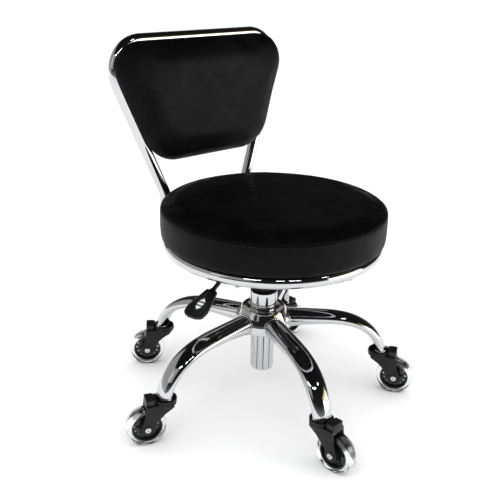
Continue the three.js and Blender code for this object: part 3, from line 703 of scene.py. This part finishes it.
pad_loop = fillet([(22.4, 85.4), (34.4, 85.4), (34.4, 94), (22.8, 94)], 1.0, 3, closed=True)
side_pads = []
for side in SIDES:
    pad_at = Matrix(((1, 0, 0, 0), (0, 0, side, side * 12.6), (0, 1, 0, 0), (0, 0, 0, 1)))
    side_pads.append(moved(slab(pad_loop, 0, 0.9, 0.35), pad_at))
pad_mesh = mesh_of(merged(*side_pads), "fork_side_pads")

bolt_profile = mirrored([(0, 19.6), (5.5, 19.6), (5.5, 17.3), (4, 17.3)])
bolt_rounding = [0, 1.1, 0.3, 0, 0, 0.3, 1.1, 0]
sockets = [axled(slab(circle(2.3, 6), low, high, SHARP)) for low, high in ((-21, -18.2), (18.2, 21))]
axle_steps = [("DIFFERENCE", socket) for socket in sockets]
axle_mesh = carved("axle", axled(turned(bolt_profile, bolt_rounding, 48, 4)), *axle_steps)
stem_profile = [(0, 66.5), (5, 66.5), (5, 84.3), (9, 84.3), (9, 87.4), (5, 87.4), (5, 105.7), (0, 105.7)]
stem_mesh = mesh_of(turned(stem_profile, 0.5, 32), "stem")

HOLES = 14
RIBS = 7
RIM_R = CORE_R - 2.8
core_profile = mirrored([(4.3, 11), (12, 11), (13.5, 1.6),
                         (RIM_R - 0.8, 1.6), (RIM_R, 10.2), (CORE_R, 10.2)])
core_steps = []
for k in range(HOLES):
    drill = moved(axled(cylinder(1.9, -6, 6, 20)), turn(360 / HOLES * k, "Y") @ shift(22.2))
    core_steps.append(("DIFFERENCE", drill))
for side in SIDES:
    core_steps.append(("DIFFERENCE", axled(cylinder(11, 9 * side, 12 * side, 48))))
core_mesh = carved("wheel_core", axled(turned(core_profile, 0.6, 96)), *core_steps)
rib = sideways([(12.5, -1), (18.6, -0.7), (18.6, 0.7), (12.5, 1)], 4.6, 0.3)
rib_mesh = mesh_of(merged(*[moved(rib, turn(360 / RIBS * k, "Y")) for k in range(RIBS)]), "core_ribs")
shield = [(4.6, 9.1), (10.9, 9.1), (10.9, 10.9), (9.9, 10.9),
          (9.3, 10.2), (6.5, 10.2), (6, 10.9), (4.6, 10.9)]
bearings = [axled(turned([(r, side * y) for r, y in shield], 0.25, 48, 2)) for side in SIDES]
bearing_mesh = mesh_of(merged(*bearings), "bearing_shields")
tyre_profile = mirrored([(CORE_R + 0.3, 10.9), (34.6, 11), (36.8, 9.2), (WHEEL_R, 5)])
tyre_rounding = [0.5, 1.8, 3, 7, 7, 3, 1.8, 0.5]
tyre_mesh = mesh_of(axled(turned(tyre_profile, tyre_rounding, 128, 6)), "tyre", 50)

for i, (angle, heading) in enumerate(zip(LEG_ANGLES, CASTER_HEADINGS)):
    n = i + 1
    stem_at = turn(angle) @ shift(STEM_CIRCLE_R)
    caster = Matrix.Translation(stem_at.translation) @ turn(heading)
    wheel = caster @ AT_AXLE
    piece(f"stem_{n}", stem_mesh, "base", STEEL, f"caster_stem_{n}", place=caster)
    piece(f"fork_{n}", fork_mesh, f"caster_{n}", NYLON, f"caster_fork_{n}", place=caster)
    piece(f"fork_side_pads_{n}", pad_mesh, f"caster_{n}", GRIP, place=caster)
    piece(f"axle_bolt_{n}", axle_mesh, f"caster_{n}", STEEL, f"wheel_axle_{n}", place=wheel)
    piece(f"core_{n}", core_mesh, f"wheel_{n}", CORE, f"wheel_core_{n}", place=wheel)
    piece(f"core_ribs_{n}", rib_mesh, f"wheel_{n}", CORE, place=wheel)
    piece(f"bearing_shields_{n}", bearing_mesh, f"wheel_{n}", BRASS, place=wheel)
    piece(f"tyre_{n}", tyre_mesh, f"wheel_{n}", CLEAR, f"wheel_tyre_{n}", place=wheel)

# -------- padded seat and back


SIM_FRAMES = 20
PUCKER = 0.22  # how much of the cloth's short wrinkles stays
EVENING_PASSES = 14
LAST_HELD = 7  # the last ring that is held down, counted from the underside's middle


def simulate(name, grid, pin, cap):
    """Blows rings up as cloth under pressure; pin holds each from 0 to 1, cap limits its travel in mm."""
    rings = [[ring[0]] if np.allclose(ring, ring[0]) else ring for ring in grid]
    mesh = bpy.data.meshes.new(name)
    shape = skin(rings)
    mesh.from_pydata((shape[0] * MM).tolist(), [], shape[1])
    bm = bmesh.new()
    bm.from_mesh(mesh)
    bmesh.ops.recalc_face_normals(bm, faces=bm.faces)
    bm.to_mesh(mesh)
    bm.free()
    work = linked(name, mesh)
    group = work.vertex_groups.new(name="held")
    index, caps = 0, []
    for k, ring in enumerate(rings):
        for _ in ring:
            group.add([index], float(pin[k]), "REPLACE")
            caps.append(cap[k])
            index += 1
    cloth = work.modifiers.new("cloth", "CLOTH")
    settings = cloth.settings
    settings.quality = 6
    settings.mass = 0.25
    settings.tension_stiffness = settings.compression_stiffness = 20
    settings.shear_stiffness = 8
    settings.bending_stiffness = 1.2
    settings.use_pressure = True
    settings.uniform_pressure_force = 4
    settings.vertex_group_mass = "held"
    settings.effector_weights.gravity = 0
    cloth.point_cache.frame_start, cloth.point_cache.frame_end = 1, SIM_FRAMES
    for step in range(1, SIM_FRAMES + 1):
        scene.frame_set(step)
    graph = bpy.context.evaluated_depsgraph_get()
    made = bpy.data.meshes.new_from_object(work.evaluated_get(graph))
    after = np.array([v.co for v in made.vertices]) / MM
    bpy.data.objects.remove(work)
    scene.frame_set(1)
    travel = after - shape[0]
    far = np.linalg.norm(travel, axis=1)
    keep = np.minimum(1, np.array(caps) / np.maximum(far, 1e-9))
    travel *= keep[:, None]
    out, index = [], 0
    for ring in rings:
        block = travel[index:index + len(ring)]
        out.append(np.repeat(block, len(grid[0]), 0) if len(ring) == 1 else block)
        index += len(ring)
    rough = np.array(out)
    even = rough
    for _ in range(EVENING_PASSES):
        even = (np.roll(even, 1, 1) + 2 * even + np.roll(even, -1, 1)) / 4
    return grid + even * (1 - PUCKER) + rough * PUCKER


def refined(grid, at, wanted, around):
    """The grid of rings at finer places along the profile, and with more points round each ring."""
    fine = np.tensordot(spline_weights(at, wanted), grid, 1)
    n = fine.shape[1]
    wrap = np.concatenate([fine[:, -6:], fine, fine[:, :7]], 1)
    places = np.arange(-6, n + 7, dtype=float)
    weights = spline_weights(places, np.arange(n * around) / around)
    return np.einsum("kn,rnc->rkc", weights, wrap)


def outward(grid):
    """Unit normals of a grid of rings, away from its middle."""
    along = np.gradient(grid, axis=0)
    across = np.roll(grid, -1, 1) - np.roll(grid, 1, 1)
    normal = np.cross(across, along)
    for end, beside in ((0, 1), (-1, -2)):
        if np.ptp(grid[end], axis=0).max() < 1e-6:
            normal[end] = normal[beside].mean(0)
    normal = unit(normal)
    middle = grid.mean((0, 1))
    flip = np.sign(((grid - middle) * normal).sum(2).mean())
    return normal * flip


def tipped(grid):
    """A skin over a grid of rings whose first and last are drawn to a point."""
    return skin([[grid[0].mean(0)], *grid[1:-1], [grid[-1].mean(0)]])


def stitches(centres, ways, normals, length=2.9, thick=0.34, sunk=0.05):
    """Short capsules of thread along a line of points."""
    shapes = []
    for c, w, n in zip(centres, ways, normals):
        ends = (-0.5, -0.3, 0, 0.3, 0.5)
        path = [c + w * length * s + n * (thick * (1 - 3.0 * abs(s)) - sunk) for s in ends]
        shapes.append(sweep(path, [thick * 0.35, thick, thick, thick, thick * 0.35], 6))
    return merged(*shapes)


SEGMENTS = 112
AROUND = 4  # how many points of the finished mesh go to one of the simulated mesh
SEAM_Z = 409.0
STITCH_DROP = 4.2
STITCHES = 348
seat_profile = [(0, 363.8), (80, 363.8), (150, 363.8), (190.9, 363.7), (190.9, 358), (190.9, 352.8),
                (196, 352.7), (203, 352.8), (206.4, 356), (207.6, 361), (208, 368), (208.2, 376),
                (208.2, 384), (208.2, 392), (208.1, 400), (208, 405), (207.9, SEAM_Z), (206.2, 412.6),
                (202.5, 415.4), (197, 417), (190, 417.9), (180, 418.4), (168, 418.8), (155, 419.1),
                (141, 419.3), (126, 419.5), (110, 419.6), (94, 419.7), (78, 419.8), (62, 419.8),
                (46, 419.9), (30, 419.9), (15, 420), (0.0, 420)]
seat_at = lengths(np.array(seat_profile, float))
seat_grid = np.array([[(x, y + SEAT_Y, z) for x, y in circle(r, SEGMENTS)] for r, z in seat_profile])
seam_ring = next(k for k, (r, z) in enumerate(seat_profile) if z == SEAM_Z)
held, limits, swell = [], [], []
for k, (r, z) in enumerate(seat_profile):
    held.append(1.0 if k <= LAST_HELD else 0.35 if k == LAST_HELD + 1 else 0.5 if k == seam_ring else 0.0)
    limits.append(0.0 if k <= LAST_HELD else 1.1 if k <= seam_ring else 1.6 if k <= seam_ring + 3 else 4.4)
    side_share = (k - LAST_HELD) / (seam_ring - LAST_HELD)
    crown = 0.9 * math.sin(math.pi * side_share) if k < seam_ring else 4.2 * (1 - (r / 208) ** 2)
    swell.append(0.0 if k <= LAST_HELD else crown)
seat_grid = simulate("seat_sim", seat_grid, held, limits)

seam_at = seat_at[seam_ring]
stitch_at = seam_at - STITCH_DROP
places = [0, 40, 90, 140, *np.arange(160, seat_at[6], 6), *np.arange(seat_at[6], stitch_at - 2.4, 2.6),
          *np.arange(stitch_at - 2.4, seam_at + 3.0, 0.42), *np.arange(seam_at + 3.2, seam_at + 26, 2.2),
          *np.arange(seam_at + 28, seat_at[-1] - 1, 6), seat_at[-1]]
places = np.array(sorted(set(round(float(p), 3) for p in places)))
fine = refined(seat_grid, seat_at, places, AROUND)
normal = outward(fine)
ring_turn = np.arange(fine.shape[1]) * 2 * math.pi / fine.shape[1]
pucker = 1 + 0.22 * np.sin(ring_turn * 141) + 0.14 * np.sin(ring_turn * 89 + 1.3)
seam_dip = -1.15 * np.exp(-((places - seam_at) / 0.75) ** 2)
welt_rise = 0.32 * np.exp(-((places - seam_at - 2.4) / 1.4) ** 2)
stitch_dip = -0.5 * np.exp(-((places - stitch_at) / 0.9) ** 2)
fine = fine + normal * ((seam_dip + welt_rise)[:, None] + stitch_dip[:, None] * pucker)[:, :, None]
seat = piece("seat_cushion_vinyl", tipped(fine), "seat", VINYL, "seat_cushion")

row = int(np.argmin(abs(places - stitch_at)))
pick = (np.arange(STITCHES) / STITCHES * fine.shape[1]).astype(int)
way = unit(np.roll(fine[row], -1, 0) - np.roll(fine[row], 1, 0))
piece("seat_topstitching", stitches(fine[row][pick], way[pick], normal[row][pick]), "seat", THREAD)

# From the hoop's plane, with x across it, y up it and z out of its front, to the frame.
PLANE = Matrix(((1, 0, 0, 0), (0, math.sin(RECLINE), -math.cos(RECLINE), HOOP_ORIGIN[1]),
                (0, math.cos(RECLINE), math.sin(RECLINE), HOOP_ORIGIN[2]), (0, 0, 0, 1)))


def half_at(up):
    return HOOP_HALF + HOOP_SPREAD * up


PAD_BOTTOM = 45.8
PAD_TOP = 269.5
PAD_OVERHANG = 1.5
PAD_TOP_CORNER_R = 50
PAD_BOTTOM_CORNER_R = 74
PAD_MIDDLE = np.array([0.0, 168.0])
PAD_POINTS = 104


def in_plane(points):
    return moved((np.array(points, float), None), PLANE)[0]


def pad_outline(by, full=0):
    """The pad's outline drawn in by a distance, as points that match from one outline to the next."""
    slant = math.hypot(1, HOOP_SPREAD)
    low, high = PAD_BOTTOM + by, PAD_TOP - by
    half_low, half_high = (half_at(up) + PAD_OVERHANG + full - by * slant for up in (low, high))
    corners = [(half_low, low), (half_high, high), (-half_high, high), (-half_low, low)]
    top, bottom = max(PAD_TOP_CORNER_R - by * 0.45, 22), max(PAD_BOTTOM_CORNER_R - by * 0.5, 20)
    loop = fillet(corners, [bottom, top, top, bottom], 24, closed=True)
    loop = np.array(loop + loop[:1])
    run = lengths(loop)
    even = np.linspace(0, run[-1], PAD_POINTS, endpoint=False)
    return np.stack([np.interp(even, run, loop[:, k]) for k in (0, 1)], 1)


# Each layer of the pad: its height, how far its outline is drawn in, and how much fuller its sides are.
PAD_LAYERS = [(19.7, 60, 0), (19.7, 30, 0), (19.7, 12.5, 0), (15.5, 12.4, 0), (11.7, 12.3, 0), (11.6, 7, 0),
              (11.9, 2.2, 0), (13.6, 1, 0.6), (16.5, 1.2, 1.8), (20, 2.4, 2.6), (24.5, 4.6, 2.9),
              (29, 7.6, 2.9), (33, 11.2, 2.8), (36.6, 16, 2.4), (39.3, 22, 1.8), (41.3, 30, 1),
              (42.6, 42, 0.4), (43.5, 59, 0)]
FACE_CROWN = 1.2
pad_rings = [[(*PAD_MIDDLE, PAD_LAYERS[0][0])] * PAD_POINTS]
for depth, by, full in PAD_LAYERS:
    pad_rings.append([(x, y, depth) for x, y in pad_outline(by, full)])
for share in (0.86, 0.72, 0.58, 0.44, 0.3, 0.15, 0.0):
    crown = depth + FACE_CROWN * (1 - share)
    pad_rings.append([(*(PAD_MIDDLE + (p - PAD_MIDDLE) * share), crown) for p in pad_outline(by)])
pad_grid = in_plane(pad_rings)
pad_at = np.concatenate([[0], np.cumsum(np.linalg.norm(np.diff(pad_grid, axis=0), axis=2).mean(1))])
pad_held = [1.0 if k <= LAST_HELD else 0.4 if k == LAST_HELD + 1 else 0.0 for k in range(len(pad_grid))]
face_rings = len(pad_grid) - LAST_HELD - 8
pad_limits = [0.0] * (LAST_HELD + 1) + [0.8] * 2 + [2.2] * 5 + [3.4] * face_rings
pad_grid = simulate("pad_sim", pad_grid, pad_held, pad_limits)
places = np.array(sorted(set([0.0, *pad_at[1:4], *np.arange(pad_at[3] + 1.2, pad_at[9], 1.4),
                              *np.arange(pad_at[9], pad_at[-1] - 2, 4.5), pad_at[-1]])))
fine = refined(pad_grid, pad_at, places, AROUND)
pad = piece("backrest_pad_vinyl", tipped(fine), "seat", VINYL, "backrest_pad")

# -------- seat board, ring and what is under them

COVER_SEGMENTS = 180
STAPLES = 48
RING_SCREWS = 6

board_profile = [(0, BOARD_BOTTOM), (BOARD_R, BOARD_BOTTOM), (BOARD_R, BOARD_TOP), (0, BOARD_TOP)]
SEAT_AT = shift(0, SEAT_Y)
piece("seat_board_plywood", turned(board_profile, 0.8, 128, 2), "seat", PLYWOOD, "seat_board", place=SEAT_AT)
ring_profile = [(RING_R + x, RING_Z + z) for x, z in circle(TUBE_R, 36)]
piece("seat_trim_ring", lathe(ring_profile, 180, closed=True), "seat", CHROME, "seat_ring", place=SEAT_AT)


def wavy_disc(profile, waves, folds=0.0):
    """A thin sheet turned about Z, with a wandering edge and a slightly rumpled face."""
    rings = []
    for r, z, loose in profile:
        loop = []
        for j in range(COVER_SEGMENTS):
            a = 2 * math.pi * j / COVER_SEGMENTS
            wave = loose * sum(size * math.sin(n * a + n) for n, size in waves)
            rumple = folds * (math.sin(5 * a + r / 21) * math.sin(r / 17) + 0.5 * math.sin(11 * a - r / 13))
            loop.append(((r + wave) * math.cos(a), (r + wave) * math.sin(a), z + rumple))
        rings.append(loop)
    return skin(rings, closed=True)


flap = [(188.4, 352.1, 0), (168, 352.1, 0), (160, 351.9, 1),
        (160.4, 351.4, 1), (168, 351.3, 0), (186.4, 351.3, 0)]
piece("seat_vinyl_flap", wavy_disc(flap, ((23, 1.6), (37, 1.1))), "seat", VINYL, place=SEAT_AT)
cover = [(178, 351.0, 1), (150, 350.9, 0), (110, 350.8, 0), (70, 350.8, 0), (30, 350.9, 0), (30, 350.5, 0),
         (70, 350.4, 0), (110, 350.4, 0), (150, 350.5, 0), (177, 350.5, 1), (178.4, 350.7, 1)]
piece("seat_dust_cover", wavy_disc(cover, ((17, 0.7), (29, 0.5)), 0.12), "seat", DUST_CLOTH, place=SEAT_AT)
wire = sweep(fillet([(-5, 0, 1.2), (-5, 0, 0), (5, 0, 0), (5, 0, 1.2)], 0.7, 2), 0.45, 6)
staples = []
for k in range(STAPLES):
    at = turn(360 / STAPLES * k + 3) @ shift(172, 0, 349.9) @ turn(90 + 12 * math.sin(k * 2.4))
    staples.append(moved(wire, at))
piece("seat_staples", merged(*staples), "seat", STEEL, place=SEAT_AT)
pan = [(0, 325.9), (3.4, 326.2), (4.8, 328.2), (4.8, 330.2), (2.2, 330.2), (2.2, 334), (0, 334)]
screw = turned(pan, 0.6, 24)
screws = [moved(screw, turn(360 / RING_SCREWS * k + 30) @ shift(RING_R)) for k in range(RING_SCREWS)]
piece("ring_screws", merged(*screws), "seat", STEEL, place=SEAT_AT)

# -------- plate and its bolts


def soften(node, look, width=0.6):
    """A CAD node that is shown as it is, with eased edges and its own look."""
    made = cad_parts[node]
    ease = made.modifiers.new("eased_edges", "BEVEL")
    ease.width, ease.segments = width * MM, 2
    ease.limit_method, ease.angle_limit = "ANGLE", math.radians(40)
    made.data.materials.clear()
    made.data.materials.append(look[1])


soften("mounting_plate", POWDER)
soften("backrest_crossbar", POWDER)

shank = [(0, 327), (3, 327), (3, 328.6), (7.2, 328.6), (7.2, 329.7),
         (3, 329.7), (3, 333.3), (7, 333.3), (7, 352), (0, 352)]
seat_bolt = merged(slab(circle(6, 6), 325.5, 329.0, 0.5), turned(shank, 0.3, 32, 2))
for k, (x, y) in enumerate([(-45, -58), (45, -58), (-45, 62), (45, 62)]):
    piece(f"plate_bolt_{k + 1}", seat_bolt, "seat", STEEL, f"seat_bolt_{k + 1}", place=shift(x, y))
shank = [(0, 304), (4, 304), (4, 306.2), (6.4, 306.4), (6.4, 307.2), (4, 307.2), (4, 339.2), (0, 339.2)]
hexagons = [slab(circle(6.5, 6), low, high, 0.5) for low, high in ((302.6, 307.0), (333.6, 337.8))]
hoop_bolt = merged(*hexagons, turned(shank, 0.3, 32, 2))
for k, side in enumerate(SIDES):
    bolt_at = shift(side * RUN_X, 45)
    piece(f"frame_bolt_{k + 1}", hoop_bolt, "seat", STEEL, f"hoop_bolt_{k + 1}", place=bolt_at)

# -------- backrest hoop, plugs, panel and screws

kink = in_plane((RUN_X, HOOP_KINK, 0))
right_side = [np.array([RUN_X, RUN_END_Y, RUN_Z]), np.array([RUN_X, kink[1], RUN_Z]), kink,
              in_plane((half_at(HOOP_TOP), HOOP_TOP, 0))]
hoop_corners = right_side + [p * np.array([-1, 1, 1]) for p in reversed(right_side)]
hoop_path = fillet(hoop_corners, [0, 34, 50, 58, 58, 50, 34, 0], 18)
piece("backrest_frame_tube", sweep(hoop_path, TUBE_R, 40), "seat", CHROME, "backrest_hoop")
plug_profile = [(0, -2.6), (6.5, -2.2), (10.9, -1.2), (10.9, 0.4), (9, 0.6), (9, 4), (0, 4)]
plug = turned(plug_profile, 0.8, 40)
for k, side in enumerate(SIDES):
    plug_at = shift(side * RUN_X, RUN_END_Y - 0.2, RUN_Z) @ turn(-90, "X")
    piece(f"frame_plug_{k + 1}", plug, "seat", NYLON, place=plug_at)

panel = merged(slab(pad_outline(13.4), 11.3, 19.3, 1.4), slab(pad_outline(25), 10.9, 14, 0.5))
piece("backrest_back_panel", moved(panel, PLANE), "seat", NYLON, "backrest_board")
pan = [(0, 5.2), (2.6, 5.4), (4.2, 6.6), (4.2, 7.7), (2, 7.7), (2, 16.4), (0, 16.4)]
cross = slab(oblong(2.4, 0.4), 4, 6.2, SHARP)
for k, (x, up) in enumerate([(-70, 128), (70, 128), (-70, 152), (70, 152)]):
    name = f"panel_screw_{k + 1}"
    mesh = carved(name, turned(pan, 0.5, 32), ("DIFFERENCE", cross), ("DIFFERENCE", moved(cross, turn(90))))
    piece(name, mesh, "seat", STEEL, f"backrest_screw_{k + 1}", place=PLANE @ shift(x, up))

# -------- lever

LEVER = turn(LEVER_DEG)
PIVOT = shift(PIVOT_AT, 0, LEVER_Z)
rod_end = (LEVER_END[0] - 4, 0, LEVER_END[1] + 1.78)
rod_path = fillet([(-3, 0, LEVER_Z), (LEVER_BEND[0], 0, LEVER_Z), rod_end], 25, 12)
block = slab(fillet(oblong(7, 5), 1.2, 3, closed=True), -5, 5, 0.6)
rod_mesh = carved("lever_bar", sweep(rod_path, 4, 28), ("UNION", moved(block, PIVOT)))
piece("lever_bar", rod_mesh, "lever", POWDER, "lever_rod", place=LEVER)
pin_profile = [(0, -11.2), (3.4, -11.2), (3.4, -10.2), (2.5, -10.2), (2.5, 10.4), (0, 10.4)]
pin = moved(axled(turned(pin_profile, 0.4, 32, 2)), PIVOT)
piece("lever_pin", pin, "seat", STEEL, "lever_pivot_pin", place=LEVER)

droop = math.atan2(LEVER_BEND[1] - LEVER_END[1], LEVER_END[0] - LEVER_BEND[0])
paddle_z = LEVER_BEND[1] - (PADDLE_FROM - LEVER_BEND[0]) * math.tan(droop)
PADDLE = LEVER @ shift(PADDLE_FROM, 0, paddle_z) @ turn(math.degrees(droop), "Y")
paddle_corners = [(0, -11), (47, -22), (62, -19.5), (66.6, -8), (66.6, 8), (62, 19.5), (47, 22), (0, 11)]
paddle_radii = np.array([3, 12, 9, 12, 12, 9, 12, 3.0])
paddle_rings = []
paddle_levels = [(5.5, -3.5), (3, -4), (1.2, -3.5), (0.25, -2), (0, 0),
                 (0.25, 1.9), (1.1, 3.2), (2.6, 4), (5, 3.9), (7.5, 3.4)]
for by, z in paddle_levels:
    loop = fillet(inset(paddle_corners, by), np.maximum(paddle_radii - by, 1), 6, closed=True)
    paddle_rings.append([(x, y, z) for x, y in loop])
COLLAR_SQUASH = 0.78
collar_profile = [(4.1, -3), (5.6, -3), (6.4, 1), (6.4, 10), (4.1, 10)]
points, faces = moved(turned(collar_profile, 1, 36), turn(90, "Y"))
collar = points * (1, 1, COLLAR_SQUASH), faces
paddle_mesh = carved("lever_handle", skin(paddle_rings), ("UNION", collar), sharp=45)
piece("lever_handle", paddle_mesh, "lever", NYLON, "lever_paddle", place=PADDLE)

MARKS_X = 36
mark_loops = []
for way in SIDES:
    tip, back = MARKS_X + way * 13.5, MARKS_X + way * 5.5
    loop = fillet([(tip, 0), (back, -way * 6.5), (back, way * 6.5)], 0.7, 3, closed=True)
    area = sum(a[0] * b[1] - b[0] * a[1] for a, b in zip(loop, loop[1:] + loop[:1]))
    mark_loops.append(loop if area > 0 else loop[::-1])
mark_loops.append(fillet(oblong(2.5, 6, MARKS_X), 1, 3, closed=True))
marks = [slab(loop, 3.1, 3.62, 0.15, steps=2) for loop in mark_loops]
piece("lever_arrows", merged(*marks), "lever", PRINT, place=PADDLE)

# -------- floor, light and camera

FLOOR_HALF = 40.0
floor_mesh = bpy.data.meshes.new("floor")
floor_mesh.from_pydata([(x, y, 0) for x, y in oblong(FLOOR_HALF, FLOOR_HALF)], [], [(0, 1, 2, 3)])
floor = linked("floor", floor_mesh)
floor_look = Look("pale_floor", (0.93, 0.93, 0.93), Specular_IOR_Level=0.1)
floor_look.roughness((400, 2), 0.85, 0.95)
floor_mesh.materials.append(floor_look.material)

world = bpy.data.worlds.new("studio")
scene.world = world
world.use_nodes = True
nodes, link = world.node_tree.nodes, world.node_tree.links.new
coordinates = nodes.new("ShaderNodeTexCoord")
split = nodes.new("ShaderNodeSeparateXYZ")
ramp = nodes.new("ShaderNodeValToRGB")
link(coordinates.outputs["Generated"], split.inputs[0])
link(split.outputs["Z"], ramp.inputs[0])
room = nodes["Background"]
link(ramp.outputs[0], room.inputs["Color"])
rays = nodes.new("ShaderNodeLightPath")
shown = room.outputs[0]
for ray, level in (("Is Diffuse Ray", 0.56), ("Is Camera Ray", 0.93)):
    flat, mix = nodes.new("ShaderNodeBackground"), nodes.new("ShaderNodeMixShader")
    flat.inputs["Color"].default_value = (level, level, level * 1.01, 1)
    link(rays.outputs[ray], mix.inputs[0])
    link(shown, mix.inputs[1])
    link(flat.outputs[0], mix.inputs[2])
    shown = mix.outputs[0]
link(shown, nodes["World Output"].inputs["Surface"])
STOPS = [(0.0, 0.24), (0.06, 0.17), (0.16, 0.06), (0.3, 0.02), (1.0, 0.008)]
while len(ramp.color_ramp.elements) < len(STOPS):
    ramp.color_ramp.elements.new(0.5)
for element, (at, level) in zip(ramp.color_ramp.elements, STOPS):
    element.position = at
    element.color = (level, level, level * 1.01, 1)


def aimed(target, location):
    return (Vector(target) - Vector(location)).to_track_quat("-Z", "Y").to_euler()


def lamp(name, kind, **values):
    data = bpy.data.lights.new(name, kind)
    for key, value in values.items():
        setattr(data, key, value)
    made = linked(name, data)
    made.visible_camera = False
    return made


def softbox(name, location, target, width, height, radiance, colour=(1, 1, 1)):
    made = lamp(name, "AREA", shape="RECTANGLE", size=width, size_y=height, color=colour,
                energy=radiance * math.pi * width * height)
    made.location, made.rotation_euler = location, aimed(target, location)


sky = lamp("sky_fill", "SUN", energy=2.0, angle=math.radians(110))
sky.rotation_euler = (math.radians(10), math.radians(-8), 0)
sky.visible_glossy = False
LAMP_ROW = [(-157, 0.62), (-147, 0.12), (-123, 0.34), (-109, 0.24), (-101, 0.2), (-66, 0.3)]
LAMP_ROW_AT = (0, 0, 0.35)
LAMP_AWAY = 3
LAMP_TILT = math.radians(48)
for k, (azimuth, width) in enumerate(LAMP_ROW):
    x, y = arc(LAMP_AWAY, [azimuth])[0]
    at = (x * math.cos(LAMP_TILT), y * math.cos(LAMP_TILT), LAMP_ROW_AT[2] + LAMP_AWAY * math.sin(LAMP_TILT))
    softbox(f"lamp_row_{k + 1}", at, LAMP_ROW_AT, width, 0.16, 14, (0.9, 0.94, 1))
softbox("front_card", (2.45, -3.75, 0.9), (0, 0, 0.6), 3.4, 1.8, 3.5)
softbox("rear_card", (2.0, 2.6, 2.1), (0, 0, 0.2), 2.4, 0.5, 0.4, (1, 0.93, 0.84))
softbox("left_wall", (-2.9, 2.9, 1.9), (0, 0, 0.6), 7.5, 4, 0.42, (1, 0.985, 0.95))
softbox("left_card", (-3.4, -0.3, 2.5), (0, 0, 0.4), 3, 2.2, 0.4, (1, 0.985, 0.95))
softbox("warm_strip", (2.55, -3.87, 2.2), (0, 0, 0.7), 3.4, 0.76, 1.05, (1, 0.74, 0.36))

CAMERA_AT = (-0.90392, -0.97264, 0.84424)
camera_data = bpy.data.cameras.new("camera")
camera = linked("camera", camera_data)
look_way = Vector((0.61733, 0.69376, -0.37095)).normalized()
look_up = Vector((0.22954, 0.29217, 0.92841)).normalized()
look_right = look_way.cross(look_up).normalized()
look_up = look_right.cross(look_way)
facing = Matrix((look_right, look_up, -look_way)).transposed().to_4x4()
camera.matrix_world = Matrix.Translation(CAMERA_AT) @ facing
camera_data.sensor_width, camera_data.lens = 36, 54.14
camera_data.clip_start, camera_data.clip_end = 0.05, 100
scene.camera = camera
scene.view_settings.view_transform = "Standard"
